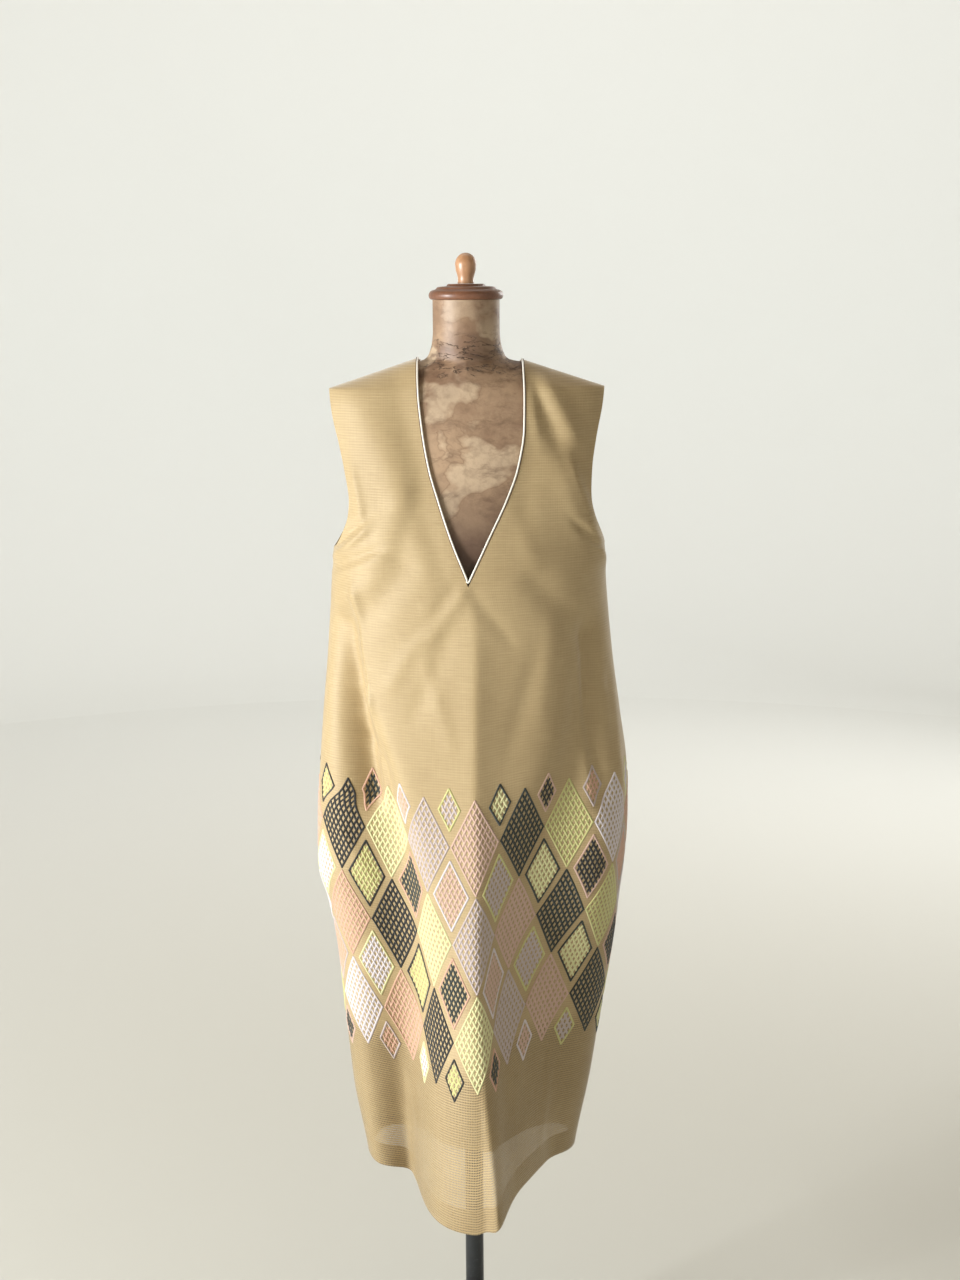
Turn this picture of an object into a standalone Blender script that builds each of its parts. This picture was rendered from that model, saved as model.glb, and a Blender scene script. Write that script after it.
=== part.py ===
"""Sleeveless v-neck dress on a limbless dress form and its stand.

Metres, +Z up, front towards -Y, origin on the floor under the stand's pole.
"""

import math

import bmesh
import bpy
import numpy as np

# Cloth
WALL = 0.0012
SEAM_HALF_GAP = 0.00027
SHOULDER_HALF_GAP = 0.00032
SEAM_STRIP = 0.006

# Heights of the dress
UNDERARM_Z = 1.347
V_POINT_Z = 1.3055
HEM_Z = 0.383
HEM_DIP = 0.048
HEM_DIP_AT = -0.10
HEM_DIP_LEFT = 0.43
HEM_DIP_RIGHT = 0.34
BACK_HEM_DIP = 0.006
BACK_DIP_WIDE = 0.35
FOLD_FLATNESS = 2.4

# Shoulder line, straight from the neck point down to the shoulder tip
NECK_POINT_X = 0.077
NECK_POINT_Z = 1.6165
NECK_TOP_Z = 1.6181
SHOULDER_FALL = 0.328
SHOULDER_TIP_Z = 1.5766
BACK_NECK_Z = 1.5895

# Grid of the panels
HALF_COLUMNS = 16
YOKE_ROWS = 12
CHEST_ROWS = 2
SKIRT_ROWS = 26
BACK_SHOULDER_COLUMNS = 7
BACK_NECK_COLUMNS = 10
FINE_STEPS = 96
YOKE_EASE = 2.2
SEAM_FLAT = 8
CREASE_END = 0.022

# Piping round the neck
PIPING_RADIUS = 0.0018
PIPING_GAP = 0.0005
PIPING_TIP_RISE = 0.0064
PIPING_TIP_HALF = 0.0014
PIPING_TIP_LIFT = 0.0012
PIPING_CREST = 0.0010

# Lower band of the skirt's lining, seated in the cloth at its top
LINING_TOP_Z = 0.600
LINING_HEM_Z = 0.455
LINING_SEAT = 0.0019
LINING_SLACK = 0.008
LINING_RIDGES = 0.75
LINING_ROWS = 6

# Dress form
FORM_BOTTOM_Z = 0.97
FORM_TOP_Z = 1.6997
FORM_DROP = 0.0021
FORM_INSET = 0.0021
FORM_SHOULDER_HALF = 0.1960
FORM_SHOULDER_SLOPE = 0.9
FORM_SIDES = 32

# Stand and turned pieces
POLE_RADIUS = 0.0143
FIT = 0.0003
BASE_RADIUS = 0.170
BASE_HEIGHT = 0.020
COLLAR_RADIUS = 0.030
COLLAR_HEIGHT = 0.038
SOCKET_RADIUS = 0.032
SOCKET_HEIGHT = 0.026
CAP_RADIUS = 0.0532
CAP_HEIGHT = 0.0218
KNOB_RADIUS = 0.0152
KNOB_TOP_Z = 1.7650
TURNED_STEPS = 32

# Body of the cloth without folds, a row for each level: half widths to the left and right seams,
# depths of the front and the back, how far back each seam lies, and how square (over 2) or pointed
# (under 2) the section is
BODY_COLUMNS = ("z", "left", "right", "front", "back", "left_y", "right_y", "square")
BODY = (
    (1.6400, 0.0540, 0.0540, 0.0490, 0.0490, 0.000, 0.000, 1.45),
    (1.6165, 0.0770, 0.0770, 0.0530, 0.0530, 0.000, 0.000, 1.32),
    (1.6030, 0.1182, 0.1182, 0.0575, 0.0580, 0.000, 0.000, 1.34),
    (1.5900, 0.1578, 0.1578, 0.0615, 0.0630, 0.000, 0.000, 1.42),
    (1.5766, 0.1986, 0.1986, 0.0650, 0.0680, 0.000, 0.000, 1.55),
    (1.5550, 0.2035, 0.2035, 0.0705, 0.0770, 0.000, 0.000, 1.80),
    (1.5200, 0.2055, 0.2055, 0.0790, 0.0890, 0.000, 0.000, 2.05),
    (1.4700, 0.2055, 0.2055, 0.0900, 0.0990, 0.000, 0.000, 2.20),
    (1.4140, 0.2030, 0.2030, 0.1040, 0.1040, 0.000, 0.000, 2.25),
    (1.3470, 0.1966, 0.1988, 0.1165, 0.1040, 0.000, 0.000, 2.25),
    (1.3055, 0.2002, 0.2012, 0.1200, 0.1020, 0.000, 0.000, 2.20),
    (1.1900, 0.2095, 0.2119, 0.1240, 0.1000, 0.000, 0.002, 2.00),
    (1.0980, 0.2186, 0.2246, 0.1265, 0.1000, 0.000, 0.008, 1.82),
    (1.0050, 0.2263, 0.2367, 0.1270, 0.1000, 0.000, 0.016, 1.65),
    (0.9300, 0.2305, 0.2382, 0.1250, 0.1000, 0.000, 0.022, 1.55),
    (0.8630, 0.2317, 0.2344, 0.1230, 0.1000, 0.000, 0.026, 1.50),
    (0.8070, 0.2184, 0.2280, 0.1210, 0.1000, 0.001, 0.028, 1.50),
    (0.7350, 0.2059, 0.2202, 0.1180, 0.1000, 0.003, 0.030, 1.50),
    (0.6150, 0.1965, 0.2018, 0.1120, 0.1000, 0.007, 0.032, 1.55),
    (0.4990, 0.1867, 0.1846, 0.1060, 0.1000, 0.012, 0.033, 1.60),
    (0.3990, 0.1700, 0.1647, 0.1000, 0.1000, 0.018, 0.034, 1.65),
    (0.3300, 0.1600, 0.1540, 0.0960, 0.1000, 0.021, 0.035, 1.65),
)

# Front edge of the armholes, a row for each level
ARMHOLE_COLUMNS = ("z", "left", "right")
ARMHOLE = (
    (1.5766, 0.1973, 0.1973),
    (1.5510, 0.1935, 0.1935),
    (1.5080, 0.1863, 0.1842),
    (1.4650, 0.1770, 0.1776),
    (1.4210, 0.1703, 0.1752),
    (1.3990, 0.1708, 0.1788),
    (1.3770, 0.1776, 0.1874),
    (1.3600, 0.1880, 0.1945),
    (1.3470, 0.1966, 0.1988),
)

# Edges of the v neck, a row for each level
V_EDGE_COLUMNS = ("z", "left", "right")
V_EDGE = (
    (1.6181, 0.0722, 0.0820),
    (1.5763, 0.0711, 0.0836),
    (1.5218, 0.0656, 0.0828),
    (1.4674, 0.0561, 0.0735),
    (1.4264, 0.0441, 0.0582),
    (1.3717, 0.0261, 0.0318),
    (1.3055, -0.0002, 0.0002),
)

# Middle of the front below the v, a row for each level
CENTRE_COLUMNS = ("z", "x")
CENTRE = (
    (1.3055, 0.000),
    (1.2310, 0.010),
    (1.1160, 0.008),
    (1.0130, 0.007),
    (0.7000, 0.008),
    (0.3300, 0.008),
)

# Long folds of the skirt, a row for each height of each fold: place across the panel from the left
# seam (-1) over the middle (0) to the right seam (+1), how far out (+) or in (-), and how wide it is
# to the left and to the right
FOLD_COLUMNS = ("name", "z", "at", "out", "wide_left", "wide_right")
FRONT_FOLDS = (
    ("prow", 1.000, 0.02, 0.000, 0.20, 0.10),
    ("prow", 0.860, 0.02, 0.006, 0.22, 0.10),
    ("prow", 0.700, 0.02, 0.026, 0.24, 0.09),
    ("prow", 0.345, 0.08, 0.076, 0.60, 0.135),
    ("right_slope", 0.800, 0.14, 0.000, 0.10, 0.20),
    ("right_slope", 0.345, 0.19, 0.048, 0.08, 0.36),
    ("left_valley", 1.290, -0.64, 0.000, 0.12, 0.07),
    ("left_valley", 1.150, -0.57, -0.020, 0.14, 0.07),
    ("left_valley", 1.000, -0.46, -0.034, 0.18, 0.08),
    ("left_valley", 0.860, -0.41, -0.036, 0.20, 0.11),
    ("left_valley", 0.700, -0.42, -0.036, 0.20, 0.13),
    ("left_valley", 0.345, -0.53, -0.064, 0.13, 0.21),
    ("right_valley", 1.280, 0.59, 0.000, 0.09, 0.09),
    ("right_valley", 1.120, 0.54, -0.012, 0.10, 0.08),
    ("right_valley", 0.980, 0.44, -0.016, 0.14, 0.12),
    ("right_valley", 0.860, 0.36, -0.020, 0.20, 0.20),
    ("right_valley", 0.700, 0.34, -0.040, 0.24, 0.34),
    ("right_valley", 0.345, 0.53, -0.026, 0.22, 0.24),
    ("right_bulge", 1.060, 0.70, 0.000, 0.12, 0.12),
    ("right_bulge", 0.900, 0.68, 0.010, 0.12, 0.12),
    ("right_bulge", 0.740, 0.68, 0.000, 0.12, 0.12),
)
BACK_FOLDS = (
    ("middle_ridge", 1.180, 0.06, 0.000, 0.14, 0.14),
    ("middle_ridge", 0.383, 0.04, 0.044, 0.17, 0.17),
    ("left_trough", 1.200, -0.30, 0.000, 0.12, 0.12),
    ("left_trough", 0.383, -0.30, -0.026, 0.13, 0.13),
    ("right_trough", 1.080, 0.36, 0.000, 0.12, 0.12),
    ("right_trough", 0.383, 0.34, -0.024, 0.13, 0.13),
    ("left_ridge", 1.020, -0.58, 0.000, 0.12, 0.12),
    ("left_ridge", 0.383, -0.60, 0.020, 0.13, 0.13),
    ("right_ridge", 0.920, 0.62, 0.000, 0.12, 0.12),
    ("right_ridge", 0.383, 0.64, 0.016, 0.13, 0.13),
)

# Short creases, a row for each: from one end to the other across the panel, half width and height
CREASE_COLUMNS = ("name", "x_top", "z_top", "x_low", "z_low", "half", "out")
FRONT_CREASES = (
    ("right_shoulder_ridge", 0.112, 1.580, 0.146, 1.520, 0.013, 0.0050),
    ("right_shoulder_trough", 0.098, 1.575, 0.124, 1.510, 0.012, -0.0036),
    ("right_underarm_ridge", 0.146, 1.450, 0.186, 1.340, 0.018, 0.0042),
    ("left_underarm_ridge", -0.150, 1.395, -0.180, 1.350, 0.018, 0.0034),
    ("left_bust_trough", -0.090, 1.330, -0.170, 1.235, 0.022, -0.0045),
    ("right_bust_trough", 0.100, 1.310, 0.165, 1.225, 0.022, -0.0040),
)
BACK_CREASES = (
    ("left_blade_trough", -0.120, 1.520, -0.165, 1.430, 0.018, -0.0040),
    ("right_blade_trough", 0.115, 1.500, 0.160, 1.420, 0.018, -0.0045),
    ("left_waist_trough", -0.060, 1.300, -0.140, 1.180, 0.024, -0.0050),
    ("right_waist_trough", 0.080, 1.330, 0.150, 1.220, 0.024, -0.0045),
)

# Dress form below the shoulders, a row for each level: half width, depths and squareness
FORM_COLUMNS = ("z", "half", "front", "back", "square")
FORM = (
    (1.5550, 0.1840, 0.0680, 0.0745, 1.80),
    (1.5200, 0.1760, 0.0762, 0.0850, 2.00),
    (1.4700, 0.1690, 0.0870, 0.0920, 2.15),
    (1.4140, 0.1640, 0.1000, 0.0930, 2.20),
    (1.3600, 0.1640, 0.1080, 0.0890, 2.20),
    (1.3000, 0.1570, 0.1020, 0.0810, 2.20),
    (1.2300, 0.1400, 0.0850, 0.0690, 2.15),
    (1.1700, 0.1350, 0.0780, 0.0640, 2.10),
    (1.1100, 0.1400, 0.0780, 0.0690, 2.10),
    (1.0500, 0.1450, 0.0780, 0.0760, 2.15),
    (0.9900, 0.1450, 0.0770, 0.0760, 2.15),
    (FORM_BOTTOM_Z, 0.1420, 0.0750, 0.0740, 2.15),
)

# Neck of the dress form down to the shoulders, with the same columns
NECK = (
    (FORM_TOP_Z, 0.0478, 0.0478, 0.0478, 2.00),
    (1.6560, 0.0478, 0.0478, 0.0478, 2.00),
    (1.6380, 0.0496, 0.0484, 0.0484, 1.95),
    (1.6290, 0.0520, 0.0490, 0.0490, 1.85),
    (1.6215, 0.0552, 0.0498, 0.0498, 1.65),
    (1.6160, 0.0612, 0.0508, 0.0505, 1.50),
)
FORM_SHOULDER_LEVELS = (1.6100, 1.6050, 1.5990, 1.5900, 1.5800, 1.5720)


def column(table, names, name):
    """Returns one named column of a table as an array."""
    index = names.index(name)
    return np.array([row[index] for row in table])


def smooth(levels, values, z):
    """Reads a value at height z from a table that runs downwards, on a smooth curve."""
    order = np.argsort(levels)
    x = levels[order]
    y = values[order]
    z = min(max(z, x[0]), x[-1])
    steps = np.diff(x)
    slopes = np.diff(y) / steps
    tangents = np.zeros(len(x))
    tangents[0] = slopes[0]
    tangents[-1] = slopes[-1]
    for i in range(1, len(x) - 1):
        if slopes[i - 1] * slopes[i] > 0.0:
            tangents[i] = 2.0 * slopes[i - 1] * slopes[i] / (slopes[i - 1] + slopes[i])
    i = min(int(np.searchsorted(x, z, side="right")) - 1, len(steps) - 1)
    t = (z - x[i]) / steps[i]
    start = (1.0 + 2.0 * t) * (1.0 - t) ** 2
    lean_start = t * (1.0 - t) ** 2
    end = t * t * (3.0 - 2.0 * t)
    lean_end = t * t * (t - 1.0)
    lean = steps[i] * (lean_start * tangents[i] + lean_end * tangents[i + 1])
    return start * y[i] + end * y[i + 1] + lean


def reader(table, names):
    """Returns a function that reads a named column of a table at a height."""
    levels = column(table, names, "z")
    values = {name: column(table, names, name) for name in names if name != "z"}

    def read(name, z):
        return smooth(levels, values[name], z)

    return read


body = reader(BODY, BODY_COLUMNS)
armhole = reader(ARMHOLE, ARMHOLE_COLUMNS)
v_edge = reader(V_EDGE, V_EDGE_COLUMNS)
centre = reader(CENTRE, CENTRE_COLUMNS)


def shoulder_z(x):
    """Height of the shoulder line at a distance from the middle."""
    return NECK_POINT_Z - SHOULDER_FALL * (abs(x) - NECK_POINT_X)


def half_width(side, z):
    """Half width of the body on a side, on the shoulder line above the shoulder tips."""
    name = "right" if side > 0 else "left"
    if z <= SHOULDER_TIP_Z:
        return body(name, z)
    return min(NECK_POINT_X + (NECK_POINT_Z - z) / SHOULDER_FALL, body(name, SHOULDER_TIP_Z))


def fold_readers(table):
    """Returns, for each long fold, a function that reads its columns at a height, and its top."""
    readers = []
    for name in dict.fromkeys(row[0] for row in table):
        rows = tuple(row[1:] for row in table if row[0] == name)
        readers.append((reader(rows, FOLD_COLUMNS[1:]), rows[0][0]))
    return readers


def fold_depth(folds, at, z):
    """Sum of the long folds at a place across the panel and a height."""
    total = 0.0
    for read, top in folds:
        if z < top:
            off = at - read("at", z)
            wide = read("wide_left" if off < 0.0 else "wide_right", z)
            total += read("out", z) * math.exp(-abs(off / wide) ** FOLD_FLATNESS)
    return total


front_folds = fold_readers(FRONT_FOLDS)
back_folds = fold_readers(BACK_FOLDS)


def crease_depth(creases, x, z):
    """Sum of the short creases at a place on the panel."""
    total = 0.0
    for row in creases:
        crease = dict(zip(CREASE_COLUMNS, row))
        run_x = crease["x_low"] - crease["x_top"]
        run_z = crease["z_low"] - crease["z_top"]
        length = math.hypot(run_x, run_z)
        along = ((x - crease["x_top"]) * run_x + (z - crease["z_top"]) * run_z) / length
        across = ((x - crease["x_top"]) * run_z - (z - crease["z_top"]) * run_x) / length
        past = max(-along, along - length, 0.0)
        total += crease["out"] * math.exp(-(across / crease["half"]) ** 2 - (past / CREASE_END) ** 2)
    return total


def section_point(face, at, z, ridges=1.0):
    """Point of the cloth at a place across the panel and a height.

    face is -1 for the front and +1 for the back, at runs from the left seam (-1) to the right
    seam (+1), and ridges scales the folds that stand out.
    """
    side = 1.0 if at >= 0.0 else -1.0
    square = body("square", z)
    seam_y = body("right_y" if side > 0 else "left_y", z)
    middle = centre("x", z) if z < V_POINT_Z else 0.0
    reach = half_width(side, z) - side * middle
    depth = body("front" if face < 0 else "back", z) - face * seam_y
    angle = abs(at) * math.pi / 2.0
    x = middle + side * reach * math.sin(angle) ** (2.0 / square)
    y = seam_y + face * depth * max(math.cos(angle), 0.0) ** (2.0 / max(square, 2.0))
    edge = 1.0 - abs(at) ** SEAM_FLAT
    out = edge * fold_depth(front_folds if face < 0 else back_folds, at, z)
    out = min(out, 0.0) + max(out, 0.0) * ridges
    out += edge * crease_depth(FRONT_CREASES if face < 0 else BACK_CREASES, x, z)
    turn = at * abs(at) * math.pi / 2.0
    return np.array((x + out * math.sin(turn), y + face * out * math.cos(turn), z))


def place_across(face, x, z):
    """Place across the panel of a point given by its distance from the middle."""
    side = 1.0 if x >= 0.0 else -1.0
    ratio = min(abs(x) / half_width(side, z), 1.0)
    return side * math.asin(ratio ** (body("square", z) / 2.0)) / (math.pi / 2.0)


def yoke_point(face, x, z):
    """Point of the cloth above the v point, given by its distance from the middle and height."""
    return section_point(face, place_across(face, x, z), z)


def spread(points, shares):
    """Places points along a fine line at the given shares of its length."""
    points = np.array(points)
    lengths = np.concatenate(([0.0], np.cumsum(np.linalg.norm(np.diff(points, axis=0), axis=1))))
    wanted = np.array(shares) * lengths[-1]
    return np.stack([np.interp(wanted, lengths, points[:, axis]) for axis in range(3)], axis=1)


def yoke_levels():
    """How far down from the shoulder to the underarm each row of the yoke lies, 0 to 1."""
    return [(i / YOKE_ROWS) ** YOKE_EASE for i in range(YOKE_ROWS + 1)]


def chest_levels():
    """Heights of the rows between the underarm and the v point."""
    return [UNDERARM_Z + (V_POINT_Z - UNDERARM_Z) * i / CHEST_ROWS for i in range(1, CHEST_ROWS + 1)]


def strip_shares(count, strip):
    """Even shares with a narrow first column along the seam."""
    return np.concatenate(([0.0], np.linspace(strip, 1.0, count)))


def hem_height(face, at):
    """Height of the hem at a place across the panel."""
    if face > 0:
        return HEM_Z - BACK_HEM_DIP * math.exp(-(at / BACK_DIP_WIDE) ** 2)
    wide = HEM_DIP_LEFT if at < HEM_DIP_AT else HEM_DIP_RIGHT
    return HEM_Z - HEM_DIP * math.exp(-abs((at - HEM_DIP_AT) / wide) ** FOLD_FLATNESS)


def front_half(side):
    """Rows of points of one half of the front, from the seam to the v edge or the middle."""
    name = "right" if side > 0 else "left"
    rows = []
    fractions = np.linspace(0.0, 1.0, FINE_STEPS + 1)
    tip_x = armhole(name, SHOULDER_TIP_Z)
    neck_x = v_edge(name, NECK_TOP_Z)
    for down in yoke_levels():
        outer_z = shoulder_z(tip_x) + (UNDERARM_Z - shoulder_z(tip_x)) * down
        inner_z = shoulder_z(neck_x) + (UNDERARM_Z - shoulder_z(neck_x)) * down
        outer_x = armhole(name, outer_z)
        inner_x = v_edge(name, inner_z)
        line = []
        for f in fractions:
            bend = (1.0 - down) * f + down * (1.0 - math.cos(f * math.pi / 2.0))
            x = outer_x + (inner_x - outer_x) * bend
            top_z = shoulder_z(tip_x + (neck_x - tip_x) * bend)
            z = top_z + (UNDERARM_Z - top_z) * down
            line.append(yoke_point(-1, side * x, z))
        rows.append(line)
    for z in chest_levels():
        last = abs(place_across(-1, v_edge(name, z), z))
        rows.append([section_point(-1, side * (1.0 + (last - 1.0) * f), z) for f in fractions])
    for i in range(1, SKIRT_ROWS + 1):
        line = []
        for f in fractions:
            at = side * (1.0 - f)
            z = V_POINT_Z + (hem_height(-1, at) - V_POINT_Z) * i / SKIRT_ROWS
            line.append(section_point(-1, at, z))
        rows.append(line)
    return rows


def seam_share(line):
    """Share of a line's length that the narrow strip along the seam takes."""
    points = np.array(line)
    return SEAM_STRIP / np.linalg.norm(np.diff(points, axis=0), axis=1).sum()


def front_grid():
    """Grids of points of the left and the right half of the front."""
    grids = []
    for side in (-1.0, 1.0):
        rows = []
        for line in front_half(side):
            points = spread(line, strip_shares(HALF_COLUMNS, seam_share(line)))
            rows.append(points if side < 0 else points[::-1])
        grids.append(np.array(rows))
    return grids


def back_grid():
    """Rows of points of the back, from the left seam to the right seam."""
    fractions = np.linspace(-1.0, 1.0, 2 * FINE_STEPS + 1)
    tip = armhole("right", SHOULDER_TIP_Z)
    rows = []
    for i, down in enumerate(yoke_levels()):
        edge_z = shoulder_z(tip) + (UNDERARM_Z - shoulder_z(tip)) * down
        line = []
        for f in fractions:
            side = 1.0 if f >= 0.0 else -1.0
            edge_x = armhole("right" if side > 0 else "left", edge_z)
            bend = (1.0 - down) * abs(f) + down * math.sin(abs(f) * math.pi / 2.0)
            x = side * edge_x * bend
            top_z = back_top(side * tip * bend)
            line.append(yoke_point(1, x, top_z + (UNDERARM_Z - top_z) * down))
        rows.append(line)
    for z in chest_levels():
        rows.append([section_point(1, f, z) for f in fractions])
    for i in range(1, SKIRT_ROWS + 1):
        line = []
        for f in fractions:
            z = V_POINT_Z + (hem_height(1, f) - V_POINT_Z) * i / SKIRT_ROWS
            line.append(section_point(1, f, z))
        rows.append(line)
    top = top_shares(rows[0])
    grid = []
    for i, line in enumerate(rows):
        even = back_shares(seam_share(line))
        down = (i / YOKE_ROWS) ** YOKE_EASE if i < YOKE_ROWS else 1.0
        grid.append(spread(line, (1.0 - down) * top + down * even))
    return np.array(grid)


def back_top(x):
    """Height of the back's top edge: shoulder line outside the neck points, a curve between."""
    corner = v_edge("right" if x >= 0.0 else "left", NECK_TOP_Z)
    if abs(x) >= corner:
        return shoulder_z(x)
    return BACK_NECK_Z + (shoulder_z(corner) - BACK_NECK_Z) * (abs(x) / corner) ** 3


def back_shares(strip):
    """Even shares of a row of the back with a narrow column along each seam."""
    columns = BACK_NECK_COLUMNS + 2 * BACK_SHOULDER_COLUMNS + 1
    return np.concatenate(([0.0], np.linspace(strip, 1.0 - strip, columns), [1.0]))


def top_shares(line):
    """Shares of the back's top edge with a column on each neck point."""
    points = np.array(line)
    lengths = np.concatenate(([0.0], np.cumsum(np.linalg.norm(np.diff(points, axis=0), axis=1))))
    total = lengths[-1]
    left = np.interp(-v_edge("left", NECK_TOP_Z), points[:, 0], lengths) / total
    right = np.interp(v_edge("right", NECK_TOP_Z), points[:, 0], lengths) / total
    strip = SEAM_STRIP / total
    out = np.concatenate(([0.0], np.linspace(strip, left, BACK_SHOULDER_COLUMNS + 1)))
    neck = np.linspace(left, right, BACK_NECK_COLUMNS + 1)[1:-1]
    back = np.concatenate((np.linspace(right, 1.0 - strip, BACK_SHOULDER_COLUMNS + 1), [1.0]))
    return np.concatenate((out, neck, back))


def part_seams(grid, face, edges):
    """Moves a panel's edges off the side and shoulder seams by half the seam's gap."""
    grid = grid.copy()
    for edge in edges:
        grid[:, edge, 1] += face * SEAM_HALF_GAP
    grid[0, :, 1] += face * SHOULDER_HALF_GAP
    return grid


def clear_objects():
    """Empties the scene before the build."""
    for obj in list(bpy.data.objects):
        bpy.data.objects.remove(obj, do_unlink=True)


def new_material(name, color, roughness, metallic=0.0):
    """Makes a plain material with a Principled shader."""
    material = bpy.data.materials.new(name)
    material.use_nodes = True
    shader = material.node_tree.nodes["Principled BSDF"]
    shader.inputs["Base Color"].default_value = (*color, 1.0)
    shader.inputs["Roughness"].default_value = roughness
    shader.inputs["Metallic"].default_value = metallic
    material.diffuse_color = (*color, 1.0)
    return material


def new_object(name, mesh, collection, material, smooth_angle=40.0):
    """Puts a mesh in the scene under a name, with its material and smooth shading."""
    obj = bpy.data.objects.new(name, mesh)
    mesh.materials.append(material)
    mesh.shade_smooth()
    mesh.set_sharp_from_angle(angle=math.radians(smooth_angle))
    collection.objects.link(obj)
    return obj


def grid_mesh(name, grids, flip=False, closed=False):
    """Makes a mesh of quads from grids of points, welding the points that they share."""
    shape = bmesh.new()
    for grid in grids:
        verts = [[shape.verts.new(point) for point in row] for row in grid]
        count = len(verts[0])
        last = count if closed else count - 1
        for i in range(len(verts) - 1):
            for j in range(last):
                k = (j + 1) % count
                quad = [verts[i][j], verts[i + 1][j], verts[i + 1][k], verts[i][k]]
                shape.faces.new(quad[::-1] if flip else quad)
    bmesh.ops.remove_doubles(shape, verts=shape.verts, dist=0.00005)
    mesh = bpy.data.meshes.new(name)
    shape.to_mesh(mesh)
    shape.free()
    return mesh


def add_wall(obj, thickness):
    """Gives an open surface a wall on its inner side."""
    solidify = obj.modifiers.new("wall", "SOLIDIFY")
    solidify.thickness = thickness
    solidify.offset = -1.0
    solidify.use_even_offset = True
    solidify.use_rim = True


def make_front(collection):
    """Front of the dress, two halves joined down the middle below the v."""
    left, right = front_grid()
    halves = (part_seams(left, -1.0, (0,)), part_seams(right, -1.0, (-1,)))
    cloth = new_material("front_cloth", (0.62, 0.52, 0.34), 0.62)
    mesh = grid_mesh("dress_front", halves)
    add_wall(new_object("dress_front", mesh, collection, cloth), WALL)


def make_back(collection):
    """Back of the dress, one panel."""
    panel = part_seams(back_grid(), 1.0, (0, -1))
    cloth = new_material("back_cloth", (0.60, 0.50, 0.33), 0.62)
    mesh = grid_mesh("dress_back", (panel,), flip=True)
    add_wall(new_object("dress_back", mesh, collection, cloth), WALL)


def beside_edge(edge, inner):
    """Points just off a panel's edge, away from the panel in the line of its surface."""
    along = np.gradient(edge, axis=0)
    along /= np.linalg.norm(along, axis=1)[:, None]
    away = edge - inner
    away -= along * (away * along).sum(axis=1)[:, None]
    away /= np.linalg.norm(away, axis=1)[:, None]
    return edge + away * (PIPING_RADIUS + PIPING_GAP)


def piping_crest(name, side):
    """Point of the piping on the shoulder line."""
    corner = v_edge(name, NECK_TOP_Z)
    x = corner - PIPING_RADIUS - PIPING_GAP
    return np.array((side * x, 0.0, shoulder_z(corner) + PIPING_CREST))


def piping_path():
    """Middle line of the piping, just inside the neck's edge, once round."""
    left, right = front_grid()
    rows = YOKE_ROWS + CHEST_ROWS
    down = beside_edge(left[1:rows, -1], left[1:rows, -2])
    up = beside_edge(right[1:rows, 0], right[1:rows, 1])[::-1]
    tip = yoke_point(-1, 0.0, V_POINT_Z + PIPING_TIP_RISE)
    across = np.array((PIPING_TIP_HALF, 0.0, 0.0))
    lift = np.array((0.0, 0.0, PIPING_TIP_LIFT))
    tips = (tip + lift - across, tip, tip + lift + across)
    back = back_grid()
    first = BACK_SHOULDER_COLUMNS + 2
    last = first + BACK_NECK_COLUMNS - 1
    behind = beside_edge(back[0, first:last], back[1, first:last])[::-1]
    crests = (piping_crest("left", -1.0), piping_crest("right", 1.0))
    return [crests[0], *down, *tips, *up, crests[1], *behind]


def make_piping(collection):
    """Narrow piping round the neck, one closed loop."""
    path = piping_path()
    curve = bpy.data.curves.new("neck_piping", "CURVE")
    curve.dimensions = "3D"
    curve.bevel_depth = PIPING_RADIUS
    curve.bevel_resolution = 1
    spline = curve.splines.new("POLY")
    spline.points.add(len(path) - 1)
    for point, place in zip(spline.points, path):
        point.co = (*place, 1.0)
    spline.use_cyclic_u = True
    curve.materials.append(new_material("piping_cord", (0.90, 0.88, 0.82), 0.55))
    collection.objects.link(bpy.data.objects.new("neck_piping", curve))


def moved_in(ring, inset):
    """Moves a closed ring of one level inwards by the same distance from each of its sides."""
    ahead = np.roll(ring, -1, axis=0) - ring
    ahead /= np.linalg.norm(ahead, axis=1)[:, None]
    behind = np.roll(ahead, 1, axis=0)
    inwards = ahead + behind
    inwards = np.stack((-inwards[:, 1], inwards[:, 0], inwards[:, 2]), axis=1)
    return ring + inset * inwards / (1.0 + (ahead * behind).sum(axis=1))[:, None]


def lining_ring(z, ridges):
    """Points once round the skirt at a height, on the columns of its panels."""
    fractions = np.linspace(0.0, 1.0, FINE_STEPS + 1)
    halves = []
    for side in (-1.0, 1.0):
        line = [section_point(-1, side * (1.0 - f), z, ridges) for f in fractions]
        halves.append(spread(line, strip_shares(HALF_COLUMNS, seam_share(line))))
    line = [section_point(1, 1.0 - 2.0 * f, z, ridges) for f in fractions]
    back = spread(line, back_shares(seam_share(line)))
    return np.concatenate((halves[0], halves[1][::-1][1:], back[1:-1]))


def make_lining(collection):
    """Lower band of the lining, a tube seated in the cloth at its top and hanging clear below."""
    rows = []
    for i in range(LINING_ROWS + 1):
        share = i / LINING_ROWS
        z = LINING_TOP_Z + (LINING_HEM_Z - LINING_TOP_Z) * share
        ring = lining_ring(z, 1.0 + (LINING_RIDGES - 1.0) * share)
        rows.append(moved_in(ring, LINING_SEAT + LINING_SLACK * share))
    mesh = grid_mesh("lining", (rows,), closed=True)
    cloth = new_material("lining_cloth", (0.58, 0.49, 0.34), 0.5)
    add_wall(new_object("lining", mesh, collection, cloth), WALL)


def form_ring(z, half, front, back, square):
    """Points of one level of the dress form."""
    power = 2.0 / square
    ring = []
    for j in range(FORM_SIDES):
        angle = 2.0 * math.pi * j / FORM_SIDES
        depth = front if math.sin(angle) < 0.0 else back
        x = math.copysign(half * abs(math.cos(angle)) ** power, math.cos(angle))
        y = math.copysign(depth * abs(math.sin(angle)) ** power, math.sin(angle))
        ring.append((x, y, z))
    return ring


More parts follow.
